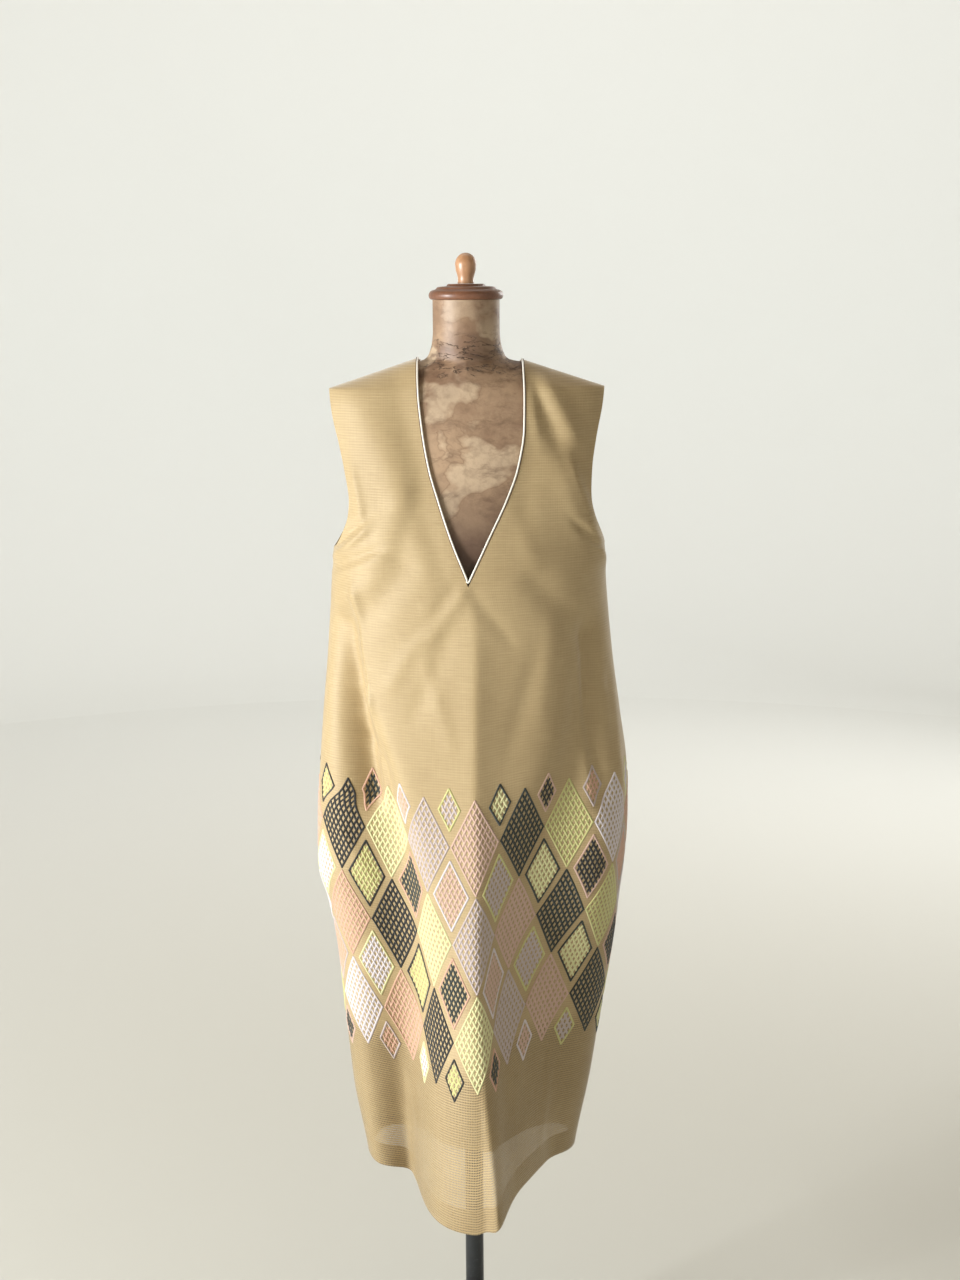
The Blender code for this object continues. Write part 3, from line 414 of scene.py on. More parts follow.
class Drape:
    """The surface that the cloth hangs in, the same as that of the solids, with finer creases."""

    def __init__(self) -> None:
        """Reads the tables."""
        self.body = read_table(BODY, BODY_COLUMNS)
        self.armhole = read_table(ARMHOLE, EDGE_COLUMNS)
        self.v_edge = read_table(V_EDGE, EDGE_COLUMNS)
        self.centre = read_table(CENTRE, CENTRE_COLUMNS)["x"]
        self.crest = read_table(CREST, CREST_COLUMNS)
        self.folds = {Side.FRONT: read_folds(FRONT_FOLDS), Side.BACK: read_folds(BACK_FOLDS)}
        self.creases = {
            Side.FRONT: FRONT_CREASES + FRONT_FINE_CREASES,
            Side.BACK: BACK_CREASES + BACK_FINE_CREASES,
        }

    def half_width(self, right: np.ndarray, z: np.ndarray) -> np.ndarray:
        """Half width of the body.

        Args:
            right: True where the right side is asked for.
            z: Heights.

        Returns:
            The distance from the middle to the seam or the shoulder line.
        """
        below = np.where(right, self.body["right"](z), self.body["left"](z))
        tip = self.body["right"](SHOULDER_TIP_Z)
        above = np.minimum(NECK_POINT_X + (NECK_POINT_Z - z) / SHOULDER_FALL, tip)
        return np.where(z > SHOULDER_TIP_Z, above, below)

    def fold_depth(self, face: Side, at: np.ndarray, z: np.ndarray) -> np.ndarray:
        """Sum of the long folds.

        Args:
            face: The panel.
            at: Places across the panel, -1 to 1.
            z: Heights.

        Returns:
            How far the cloth stands out there.
        """
        total = np.zeros(np.broadcast(at, z).shape)
        for curves, top in self.folds[face]:
            off = at - curves["at"](z)
            wide = np.where(off < 0.0, curves["wide_left"](z), curves["wide_right"](z))
            out = curves["out"](z) * np.exp(-np.abs(off / wide) ** FOLD_FLATNESS)
            total = total + np.where(z < top, out, 0.0)
        return total

    def crease_depth(self, face: Side, x: np.ndarray, z: np.ndarray) -> np.ndarray:
        """Sum of the creases.

        Args:
            face: The panel.
            x: Distances from the middle.
            z: Heights.

        Returns:
            How far the cloth stands out there.
        """
        total = np.zeros(np.broadcast(x, z).shape)
        for row in self.creases[face]:
            x_top, z_top, x_low, z_low, half, out = row
            run_x, run_z = x_low - x_top, z_low - z_top
            length = math.hypot(run_x, run_z)
            along = ((x - x_top) * run_x + (z - z_top) * run_z) / length
            across = ((x - x_top) * run_z - (z - z_top) * run_x) / length
            past = np.maximum(np.maximum(-along, along - length), 0.0)
            total = total + out * np.exp(-(across / half) ** 2 - (past / CREASE_END) ** 2)
        return total + (self.crest_depth(x, z) if face is Side.FRONT else 0.0)

    def crest_depth(self, x: np.ndarray, z: np.ndarray) -> np.ndarray:
        """How far the crest stands out, with the cloth beside it drawn in."""
        off = x - self.centre(np.minimum(z, V_POINT_Z))
        wide = np.where(off < 0.0, self.crest["wide_left"](z), self.crest["wide_right"](z))
        edge = np.exp((CREST_EDGE - np.hypot(off, CREST_EDGE)) / wide)
        fade = np.clip((z - CREST_DRAW_END) / CREST_DRAW_FADE, 0.0, 1.0)
        beside = np.exp(-(off / (CREST_REACH * wide)) ** 2) * fade
        return np.where(z < CREST[0][0], self.crest["out"](z) * (edge - CREST_DRAW * beside), 0.0)

    def point(self, face: Side, at: np.ndarray, z: np.ndarray) -> np.ndarray:
        """Points of the cloth's outer side.

        Args:
            face: The panel.
            at: Places across the panel, from the left seam (-1) to the right seam (1).
            z: Heights.

        Returns:
            The points, with x, y and z last.
        """
        at, z = np.broadcast_arrays(np.asarray(at, float), np.asarray(z, float))
        right = at >= 0.0
        side = np.where(right, 1.0, -1.0)
        square = self.body["square"](z)
        seam_y = np.where(right, self.body["right_y"](z), self.body["left_y"](z))
        middle = np.where(z < V_POINT_Z, self.centre(z), 0.0)
        reach = self.half_width(right, z) - side * middle
        depth = self.body["front" if face is Side.FRONT else "back"](z) - face.value * seam_y
        angle = np.abs(at) * math.pi / 2.0
        x = middle + side * reach * np.sin(angle) ** (2.0 / square)
        bend = np.maximum(np.cos(angle), 0.0) ** (2.0 / np.maximum(square, 2.0))
        y = seam_y + face.value * depth * bend
        edge = 1.0 - np.abs(at) ** SEAM_FLAT
        out = edge * self.fold_depth(face, at, z) + edge * self.crease_depth(face, x, z)
        turn = at * np.abs(at) * math.pi / 2.0
        return np.stack((x + out * np.sin(turn), y + face.value * out * np.cos(turn), z), axis=-1)

    def place_across(self, x: np.ndarray, z: np.ndarray) -> np.ndarray:
        """Places across the panel of points given by their distance from the middle.

        Args:
            x: Distances from the middle.
            z: Heights.

        Returns:
            Places from -1 to 1.
        """
        ratio = np.minimum(np.abs(x) / self.half_width(x >= 0.0, z), 1.0)
        angle = np.arcsin(ratio ** (self.body["square"](z) / 2.0))
        return np.where(x >= 0.0, 1.0, -1.0) * angle / (math.pi / 2.0)


def shoulder_z(x: np.ndarray) -> np.ndarray:
    """Height of the shoulder line at distances x from the middle."""
    return NECK_POINT_Z - SHOULDER_FALL * (np.abs(x) - NECK_POINT_X)


def hem_height(face: Side, at: np.ndarray) -> np.ndarray:
    """Height of the hem.

    Args:
        face: The panel.
        at: Places across it, -1 to 1.

    Returns:
        Heights of the hem there.
    """
    if face is Side.BACK:
        return HEM_Z - BACK_HEM_DIP * np.exp(-(at / BACK_HEM_WIDTH) ** 2)
    wide = np.where(at < HEM_DIP_AT, HEM_DIP_LEFT, HEM_DIP_RIGHT)
    return HEM_Z - HEM_DIP * np.exp(-np.abs((at - HEM_DIP_AT) / wide) ** HEM_DIP_FLATNESS)


@dataclass
class Patch:
    """Grid of one stretch of cloth with the cloth's own measures.

    Its columns lie at even distances along each row, from a low to a high distance from the
    panel's middle, and its skirt rows lie at even depths below the v point.
    """

    points: np.ndarray
    low: np.ndarray
    high: np.ndarray
    depths: np.ndarray
    outward: float
    skirt_row: int

    def across(self) -> np.ndarray:
        """Distance of each point from the panel's middle, along the cloth."""
        shares = np.linspace(0.0, 1.0, self.points.shape[1])
        return self.low[:, None] + (self.high - self.low)[:, None] * shares

    def normals(self) -> np.ndarray:
        """Unit normals of the grid, pointing out of the dress."""
        side = np.gradient(self.points, axis=1)
        down = np.gradient(self.points, axis=0)
        normal = np.cross(side, down) * self.outward
        return normal / np.maximum(np.linalg.norm(normal, axis=-1, keepdims=True), SHORTEST_NORMAL)

    def place(self, across: np.ndarray, depth: np.ndarray, lift: np.ndarray) -> np.ndarray:
        """Points on or off the cloth of the skirt.

        Args:
            across: Distances from the panel's middle along the cloth.
            depth: Depths below the v point, on the cloth's own measure.
            lift: Distances out of the cloth.

        Returns:
            The points.
        """
        grid = self.points[self.skirt_row:]
        normals = self.skirt_normals
        low, high = self.low[self.skirt_row:], self.high[self.skirt_row:]
        rows, columns = grid.shape[:2]
        row = np.clip(depth / SKIRT_LENGTH, 0.0, 1.0) * (rows - 1)
        r = np.clip(row.astype(int), 0, rows - 2)
        v = (row - r)[..., None]
        result = 0.0
        for k, weight in ((r, 1.0 - v), (r + 1, v)):
            share = (across - low[k]) / (high[k] - low[k])
            column = np.clip(share, 0.0, 1.0) * (columns - 1)
            c = np.clip(column.astype(int), 0, columns - 2)
            u = (column - c)[..., None]
            point = grid[k, c] * (1.0 - u) + grid[k, c + 1] * u
            normal = normals[k, c] * (1.0 - u) + normals[k, c + 1] * u
            result = result + weight * (point + normal * np.asarray(lift)[..., None])
        return result

    @cached_property
    def skirt_normals(self) -> np.ndarray:
        """Normals of the skirt rows, worked out once."""
        return self.normals()[self.skirt_row:]

    def limits(self, depth: np.ndarray) -> tuple[np.ndarray, np.ndarray]:
        """Distances of the patch's two edges from the middle at depths below the v point."""
        rows = np.linspace(0.0, SKIRT_LENGTH, len(self.low) - self.skirt_row)
        low = np.interp(depth, rows, self.low[self.skirt_row:])
        return low, np.interp(depth, rows, self.high[self.skirt_row:])


@dataclass
class Cutter:
    """Lays the panels of the dress out as fine grids on the drape."""

    drape: Drape
    half_columns: int = 84
    back_columns: int = 150
    yoke_rows: int = 46
    chest_rows: int = 7
    skirt_rows: int = 140
    yoke_ease: float = 1.5

    def levels(self) -> list[float]:
        """How far down the yoke each of its rows lies, 0 to 1."""
        return [(i / self.yoke_rows) ** self.yoke_ease for i in range(self.yoke_rows + 1)]

    def chest(self) -> list[float]:
        """Heights of the rows between the underarm and the v point."""
        step = (V_POINT_Z - UNDERARM_Z) / self.chest_rows
        return [UNDERARM_Z + step * i for i in range(1, self.chest_rows + 1)]

    @staticmethod
    def left_ends(lines: list[np.ndarray]) -> list[float]:
        """Distance of each row's left end from the middle of a whole panel, along the cloth."""
        return [-line_length(line[: FINE_STEPS + 1]) for line in lines]

    def skirt_lines(self, face: Side, at: np.ndarray) -> list[np.ndarray]:
        """Fine lines of the skirt's rows, from the v point down to the hem."""
        drop = hem_height(face, at) - V_POINT_Z
        shares = np.linspace(0.0, 1.0, self.skirt_rows + 1)
        return [self.drape.point(face, at, V_POINT_Z + drop * share) for share in shares]

    def lay(self, lines: list[np.ndarray], starts: list[float], columns: int, face: Side) -> Patch:
        """Spreads fine lines into a patch.

        Args:
            lines: Fine points of each row, top to bottom.
            starts: Distance of each row's first point from the panel's middle.
            columns: Number of columns.
            face: The panel.

        Returns:
            The patch.
        """
        shares = np.linspace(0.0, 1.0, columns + 1)
        points = np.array([spread(line, shares) for line in lines])
        totals = [line_length(line) for line in lines]
        low = np.array(starts)
        skirt = np.linspace(0.0, SKIRT_LENGTH, self.skirt_rows + 1)
        upper = V_POINT_Z - points[:, :, 2]
        skirt_row = len(lines) - len(skirt)
        upper[skirt_row:] = skirt[:, None]
        return Patch(points, low, low + np.array(totals), upper, face.value, skirt_row)

    def front_half(self, right: bool) -> Patch:
        """One half of the front.

        Args:
            right: True for the right half.

        Returns:
            Its patch, with columns from left to right.
        """
        drape, side = self.drape, 1.0 if right else -1.0
        name = "right" if right else "left"
        edge, v_edge = drape.armhole[name], drape.v_edge[name]
        f = np.linspace(0.0, 1.0, FINE_STEPS + 1)
        tip, neck = float(edge(SHOULDER_TIP_Z)), float(v_edge(NECK_TOP_Z))
        lines, inner = [], []
        for down in self.levels():
            outer_z = shoulder_z(tip) + (UNDERARM_Z - shoulder_z(tip)) * down
            inner_z = shoulder_z(neck) + (UNDERARM_Z - shoulder_z(neck)) * down
            bend = (1.0 - down) * f + down * (1.0 - np.cos(f * math.pi / 2.0))
            x = edge(outer_z) + (v_edge(inner_z) - edge(outer_z)) * bend
            top_z = shoulder_z(tip + (neck - tip) * bend)
            z = top_z + (UNDERARM_Z - top_z) * down
            lines.append(drape.point(Side.FRONT, drape.place_across(side * x, z), z))
            inner.append(float(v_edge(inner_z)))
        for z in self.chest()[:-1]:
            last = np.abs(drape.place_across(v_edge(np.array(z)), np.array(z)))
            lines.append(drape.point(Side.FRONT, side * (1.0 + (last - 1.0) * f), z))
            inner.append(float(v_edge(z)))
        lines += self.skirt_lines(Side.FRONT, side * (1.0 - f))
        inner += [0.0] * (self.skirt_rows + 1)
        if right:
            lines = [line[::-1] for line in lines]
        else:
            inner = [-(before + line_length(line)) for before, line in zip(inner, lines)]
        patch = self.lay(lines, inner, self.half_columns, Side.FRONT)
        patch.points[:, -1 if right else 0, 1] -= SEAM_HALF_GAP
        patch.points[0, :, 1] -= SHOULDER_HALF_GAP
        return patch

    def skirt(self, face: Side) -> Patch:
        """Skirt of one panel from side seam to side seam, for what is laid on it."""
        lines = self.skirt_lines(face, np.linspace(-1.0, 1.0, 2 * FINE_STEPS + 1))
        return self.lay(lines, self.left_ends(lines), 2 * self.half_columns, face)

    def back(self) -> Patch:
        """The back, one panel, with columns from left to right."""
        drape, armhole, v_edge = self.drape, self.drape.armhole, self.drape.v_edge
        f = np.linspace(-1.0, 1.0, 2 * FINE_STEPS + 1)
        tip = float(armhole["right"](SHOULDER_TIP_Z))
        right = f >= 0.0
        corner = np.where(right, v_edge["right"](NECK_TOP_Z), v_edge["left"](NECK_TOP_Z))
        lines = []
        for down in self.levels():
            edge_z = shoulder_z(tip) + (UNDERARM_Z - shoulder_z(tip)) * down
            edge = np.where(right, armhole["right"](edge_z), armhole["left"](edge_z))
            bend = (1.0 - down) * f + down * np.sin(f * math.pi / 2.0)
            top_x = tip * bend
            neck = np.minimum(np.abs(top_x) / corner, 1.0) ** BACK_NECK_CURVE
            curve = BACK_NECK_Z + (shoulder_z(corner) - BACK_NECK_Z) * neck
            top_z = np.where(np.abs(top_x) >= corner, shoulder_z(top_x), curve)
            z = top_z + (UNDERARM_Z - top_z) * down
            lines.append(drape.point(Side.BACK, drape.place_across(edge * bend, z), z))
        for z in self.chest()[:-1]:
            lines.append(drape.point(Side.BACK, f, z))
        lines += self.skirt_lines(Side.BACK, f)
        patch = self.lay(lines, self.left_ends(lines), self.back_columns, Side.BACK)
        patch.points[:, (0, -1), 1] += SEAM_HALF_GAP
        patch.points[0, :, 1] += SHOULDER_HALF_GAP
        return patch


def deselect() -> None:
    """Leaves object mode with nothing selected."""
    if bpy.context.object is not None and bpy.context.object.mode != "OBJECT":
        bpy.ops.object.mode_set(mode="OBJECT")
    bpy.ops.object.select_all(action="DESELECT")


def pick(obj: bpy.types.Object) -> None:
    """Selects one object and makes it active."""
    deselect()
    obj.select_set(True)
    bpy.context.view_layer.objects.active = obj


def in_edit_mode(obj: bpy.types.Object, *steps) -> None:
    """Runs operators on the whole of an object's mesh.

    Args:
        obj: The object.
        steps: Functions that call edit-mode operators.
    """
    pick(obj)
    bpy.ops.object.mode_set(mode="EDIT")
    for step in steps:
        bpy.ops.mesh.select_all(action="SELECT")
        step()
    bpy.ops.object.mode_set(mode="OBJECT")


def merge_doubles() -> None:
    """Merges the points of the selection that lie together."""
    bpy.ops.mesh.remove_doubles(threshold=SAME_POINT)


def close_ends() -> None:
    """Closes the open ends of the selection."""
    bpy.ops.mesh.fill_holes(sides=0)


def add_object(name: str, data: bpy.types.ID) -> bpy.types.Object:
    """Adds an object to the scene."""
    obj = bpy.data.objects.new(name, data)
    bpy.context.scene.collection.objects.link(obj)
    return obj


def finish_modifiers(obj: bpy.types.Object) -> None:
    """Applies all modifiers of an object."""
    pick(obj)
    for modifier in list(obj.modifiers):
        bpy.ops.object.modifier_apply(modifier=modifier.name)


def put_down(
    obj: bpy.types.Object, material: bpy.types.Material, angle: float = TURNED_ANGLE
) -> None:
    """Finishes a piece: its place goes into its mesh, it gets its material and rides on the part.

    Args:
        obj: The piece.
        material: Its material.
        angle: Sharpest smooth edge in degrees.
    """
    pick(obj)
    bpy.ops.object.transform_apply(location=True, rotation=True, scale=True)
    bpy.ops.object.shade_smooth_by_angle(angle=math.radians(angle))
    obj.data.materials.clear()
    obj.data.materials.append(material)
    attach(obj, "root")
    LOG.info("%s: %d faces", obj.name, len(obj.data.polygons))


def grid_faces(rows: int, columns: int, first: int, flip: bool) -> np.ndarray:
    """Faces of a grid of points.

    Args:
        rows: Rows of points.
        columns: Columns of points.
        first: Number of the grid's first point.
        flip: True to turn the faces over.

    Returns:
        Four point numbers for each face.
    """
    at = first + np.arange(rows * columns).reshape(rows, columns)
    quads = np.stack((at[:-1, :-1], at[1:, :-1], at[1:, 1:], at[:-1, 1:]), axis=-1).reshape(-1, 4)
    return quads[:, ::-1] if flip else quads


@dataclass
class Layer:
    """Grid of points of a shell with the cloth's measures at each point."""

    points: np.ndarray
    across: np.ndarray
    depth: np.ndarray


def sewn_mesh(
    name: str, points: np.ndarray, faces: np.ndarray, uv: np.ndarray, uv_name: str
) -> bpy.types.Mesh:
    """Makes a mesh from grids of points, with a UV map.

    Args:
        name: Name of the mesh.
        points: Its points.
        faces: Point numbers of its faces.
        uv: Place of each point on the map.
        uv_name: Name of the map.

    Returns:
        The mesh.
    """
    mesh = bpy.data.meshes.new(name)
    mesh.from_pydata(points.tolist(), [], faces.tolist())
    corners = np.empty(len(mesh.loops), np.int32)
    mesh.loops.foreach_get("vertex_index", corners)
    uv_map = mesh.uv_layers.new(name=uv_name)
    uv_map.data.foreach_set("uv", uv[corners].ravel().astype(np.float32))
    return mesh


def shell_object(name: str, layers: list[Layer], flip: bool) -> bpy.types.Object:
    """Makes one thin shell of cloth from grids, with a UV map in metres and how sheer it is.

    Args:
        name: Name of the piece.
        layers: Its grids.
        flip: True to turn the faces over.

    Returns:
        The object, with its wall applied.
    """
    points = np.concatenate([layer.points.reshape(-1, 3) for layer in layers])
    across = np.concatenate([layer.across.reshape(-1) for layer in layers])
    depth = np.concatenate([layer.depth.reshape(-1) for layer in layers])
    faces, count = [], 0
    for layer in layers:
        rows, columns = layer.points.shape[:2]
        faces.append(grid_faces(rows, columns, count, flip))
        count += rows * columns
    uv = np.stack((across, -depth), axis=1)
    mesh = sewn_mesh(name, points, np.concatenate(faces), uv, "cloth")
    share = np.clip((depth - SHEER_TOP) / SHEER_BLEND, 0.0, 1.0)
    sheer = mesh.attributes.new("sheer", "FLOAT", "POINT")
    sheer.data.foreach_set("value", (share * share * (3.0 - 2.0 * share)).astype(np.float32))
    obj = add_object(name, mesh)
    in_edit_mode(obj, merge_doubles)
    wall = obj.modifiers.new("wall", "SOLIDIFY")
    wall.thickness = SHELL_WALL
    wall.offset = -1.0
    wall.use_rim = True
    finish_modifiers(obj)
    return obj


def hem_turn_up(patch: Patch) -> Layer:
    """Turn-up of the hem, from the cloth's lower edge round and up behind it."""
    shares = np.linspace(0.0, 1.0, patch.points.shape[1])
    points, across = [], []
    for up, out in zip(TURN_RISES, TURN_LIFTS):
        depth = np.full(len(shares), SKIRT_LENGTH - max(up, 0.0))
        low, high = patch.limits(depth)
        along = low + (high - low) * shares
        row = patch.place(along, depth, np.full(len(shares), out))
        row[:, 2] += min(up, 0.0)
        points.append(row)
        across.append(along)
    points[0] = patch.points[-1]
    depth = SKIRT_LENGTH + np.array(TURN_RISES)[:, None] + np.zeros(len(shares))
    return Layer(np.array(points), np.array(across), depth)


def seam_allowance(patch: Patch, at_low: bool) -> Layer:
    """Seam allowance behind a side edge, where the sheer cloth lets it show.

    Args:
        patch: The cloth.
        at_low: True for the patch's left edge.

    Returns:
        The strip's grid.
    """
    lowest = SKIRT_LENGTH - HEM_TURN_UP - ALLOWANCE_BELOW
    depth = np.linspace(SHEER_TOP - ALLOWANCE_ABOVE, lowest, ALLOWANCE_ROWS + 1)
    low, high = patch.limits(depth)
    steps = np.array(ALLOWANCE_STEPS)
    if not at_low:
        steps = -steps[::-1]
    edge = low if at_low else high
    across = edge[:, None] + steps
    deep = depth[:, None] + np.zeros(len(steps))
    points = patch.place(across, deep, np.full(across.shape, -SHELL_WALL - LAYER_CLEAR))
    return Layer(points, across, deep)


Colour = tuple[float, float, float, float]


def linear(red: int, green: int, blue: int) -> Colour:
    """Linear colour from the 0-255 values of a display."""
    shares = [channel / 255.0 for channel in (red, green, blue)]
    flat = [s / 12.92 if s <= 0.04045 else ((s + 0.055) / 1.055) ** 2.4 for s in shares]
    return flat[0], flat[1], flat[2], 1.0


# Stretch of a noise that is the same along each axis
EVEN = (1.0, 1.0, 1.0)


@dataclass(frozen=True)
class Noise:
    """One noise: how it is stretched, how fine, how rich and how rough it is."""

    stretch: tuple[float, float, float] = EVEN
    scale: float = 1.0
    detail: float = 2.0
    rough: float = 0.5


@dataclass(frozen=True)
class StainOrShade:
    """One mark laid over the shell's colour, a discoloration of the shell or a painted shade: its
    colour, how much it covers and between which values it sets in.
    """

    colour: Colour
    share: float
    ends: tuple[float, float]


# Noises of the weave: its sway, the thick places of its wefts and warps, and its clouds
SWAY = Noise(scale=24.0)
SLUBS = Noise((34.0, 620.0, 1.0), detail=3.0)
WARP_SLUBS = Noise((520.0, 22.0, 1.0))
CLOTH_CLOUDS = Noise(scale=8.0, detail=3.0)

# The weave: how far it sways, its pitches, and where the sheer cloth's wefts and warps start
SWAY_REACH = 0.0016
RIB_PITCH = 0.0038
WARP_PITCH = 0.0026
WEFT_ENDS = (0.66, 0.90)
WARP_ENDS = (0.78, 1.02)
SLUB_SHARE = 0.30

# Shares of ribs, warps, slubs, warp slubs and clouds in the tone, and of the first three in the
# height
TONE_START = 0.03
TONE_SHARES = (0.14, 0.06, 0.40, 0.20, 0.42)
TONE_DROP = 0.10
WEAVE_HEIGHTS = (0.55, 0.2, 0.35)

# Noises of the form's shell
BENDING = Noise(scale=9.0, detail=3.0)
BEND_REACH = (0.06, 0.06, 0.06)
BROAD = Noise((1.0, 1.0, 1.4), 7.5, 5.0, 0.60)
PATCHES = Noise((1.0, 1.0, 1.3), 13.0, 4.0)
SPECKLE = Noise(scale=70.0, detail=5.0, rough=0.65)
SMEARS = Noise((22.0, 22.0, 62.0), 1.0, 5.0, 0.68)
CRACKS = Noise((1.0, 1.0, 3.0), 14.0, 6.0, 0.66)

# Colours of the form's shell and of the marks laid over it, discolorations and painted shades, from
# the lowest layer to the highest
SKIN_DARK = linear(124, 95, 73)
SKIN_LIGHT = linear(174, 145, 116)
SKIN_ENDS = (0.36, 0.64)
CREAM = StainOrShade(linear(216, 194, 164), 0.50, (0.50, 0.585))
RIM = StainOrShade(linear(112, 82, 58), 0.36, (0.44, 0.60))
SMEAR = StainOrShade(linear(106, 80, 60), 0.62, (0.50, 0.72))
SPECKS = StainOrShade(linear(112, 88, 68), 0.34, (0.42, 0.70))
SOIL = StainOrShade(linear(84, 58, 42), 0.55, (0.44, 0.60))
# Painted shade: the upper neck darker towards the cap
NECK_TOP_SHADE = StainOrShade(linear(120, 90, 66), 0.45, (1.640, 1.685))
# Painted shade: the form darker from the bust down, where the cloth shades it in the v neck
DEEP_SHADE = StainOrShade(linear(72, 50, 38), 0.78, (1.48, 1.34))
CRACK = StainOrShade(linear(50, 36, 26), 0.85, (0.009, 0.001))

# Where a cream patch has its rim and how wide, and the heights of the soil and of the cracks
RIM_AT = 0.515
RIM_WIDE = (0.014, 0.001)
SOIL_RISE = (1.575, 1.610)
SOIL_FALL = (1.645, 1.622)
CRACK_RISE = (1.585, 1.605)
CRACK_FALL = (1.66, 1.63)

# Shares of the broad and the fine noise in the shell's height, and how deep its cracks are
SKIN_HEIGHTS = (0.8, 0.35)
CRACK_DEPTH = 0.9

# Noises of turned wood and of old paint
WOOD_RINGS = Noise((70.0, 260.0, 60.0), 1.0, 4.0, 0.6)
WOOD_PORES = Noise((220.0, 1500.0, 220.0))
PAINT_CLOUDS = Noise(scale=26.0, detail=6.0, rough=0.65)
PAINT_SPECKS = Noise(scale=240.0, detail=3.0)
SPECK_ENDS = (0.60, 0.74)
GRAIN_SHARES = (0.75, 0.35)
WEAR_SHARES = (0.7, 0.30)


class Tree:
    """Short way to fill a node tree."""

    def __init__(self, tree: bpy.types.NodeTree) -> None:
        """Keeps the tree."""
        self.tree = tree

    def add(self, kind: str, inputs: dict | None = None, **settings) -> bpy.types.Node:
        """Adds a node.

        Args:
            kind: Its Blender type.
            inputs: Values or sockets for its inputs, by name or number.
            settings: Properties of the node.

        Returns:
            The node.
        """
        node = self.tree.nodes.new(kind)
        for key, value in settings.items():
            setattr(node, key, value)
        for key, value in (inputs or {}).items():
            self.set(node.inputs[key], value)
        return node

    def set(self, socket: bpy.types.NodeSocket, value) -> None:
        """Links a socket to another one, or gives it a value."""
        if isinstance(value, bpy.types.NodeSocket):
            self.tree.links.new(value, socket)
        else:
            socket.default_value = value

    def math(self, operation: str, *values, clamp: bool = False) -> bpy.types.NodeSocket:
        """Value of a sum of one to three values or sockets."""
        inputs = dict(enumerate(values))
        node = self.add("ShaderNodeMath", inputs, operation=operation, use_clamp=clamp)
        return node.outputs[0]

    def mix(self, share, a, b, blend: str = "MIX") -> bpy.types.NodeSocket:
        """Colour between two colours."""
        inputs = {0: share, 6: a, 7: b}
        node = self.add("ShaderNodeMix", inputs, data_type="RGBA", blend_type=blend)
        return node.outputs[2]

    def stretched(self, place, by: tuple[float, float, float]) -> bpy.types.NodeSocket:
        """A place scaled by its axis."""
        node = self.add("ShaderNodeVectorMath", {0: place, 1: by}, operation="MULTIPLY")
        return node.outputs[0]

    def noise(self, place, noise: Noise, output: str = "Fac") -> bpy.types.NodeSocket:
        """Value of a noise at a place."""
        if noise.stretch != EVEN:
            place = self.stretched(place, noise.stretch)
        inputs = {"Vector": place, "Scale": noise.scale, "Detail": noise.detail,
                  "Roughness": noise.rough}
        return self.add("ShaderNodeTexNoise", inputs).outputs[output]

    def step(self, value, low: float, high: float) -> bpy.types.NodeSocket:
        """Soft step from 0 below low to 1 above high."""
        inputs = {0: value, 1: low, 2: high, 3: 0.0, 4: 1.0}
        return self.add("ShaderNodeMapRange", inputs, interpolation_type="SMOOTHSTEP").outputs[0]

    def wave(self, value, pitch: float) -> bpy.types.NodeSocket:
        """Even wave between 0 and 1 of a pitch in metres."""
        turn = self.math("MULTIPLY", value, 2.0 * math.pi / pitch)
        return self.math("MULTIPLY_ADD", self.math("SINE", turn), 0.5, 0.5)

    def total(self, *parts: tuple, start: float = 0.0) -> bpy.types.NodeSocket:
        """Sum of values, each with its share."""
        result = start
        for value, share in parts:
            result = self.math("MULTIPLY_ADD", value, share, result)
        return result

    def near(self, value, middle: float, ends: tuple[float, float]) -> bpy.types.NodeSocket:
        """Soft line where a value is close to a middle."""
        off = self.math("ABSOLUTE", self.math("SUBTRACT", value, middle))
        return self.step(off, *ends)

    def band(
        self, value, rise: tuple[float, float], fall: tuple[float, float]
    ) -> bpy.types.NodeSocket:
        """Soft band that rises over one stretch of a value and falls over another."""
        return self.math("MULTIPLY", self.step(value, *rise), self.step(value, *fall))

    def stained_or_shaded(self, under, where, stain_or_shade: StainOrShade) -> bpy.types.NodeSocket:
        """A colour with a mark's share of another one laid over it, a discoloration or a painted
        shade.
        """
        return self.mix(self.math("MULTIPLY", where, stain_or_shade.share), under, stain_or_shade.colour)


def new_group(
    name: str, outputs: tuple[tuple[str, str], ...]
) -> tuple[Tree, bpy.types.Node, bpy.types.Node]:
    """Starts a shared effect that reads a place.

    Args:
        name: Name of the group.
        outputs: Name and socket type of each output.

    Returns:
        Its tree, its input node and its output node.
    """
    group = bpy.data.node_groups.new(name, "ShaderNodeTree")
    group.interface.new_socket("Place", in_out="INPUT", socket_type="NodeSocketVector")
    for label, kind in outputs:
        group.interface.new_socket(label, in_out="OUTPUT", socket_type=kind)
    return Tree(group), group.nodes.new("NodeGroupInput"), group.nodes.new("NodeGroupOutput")


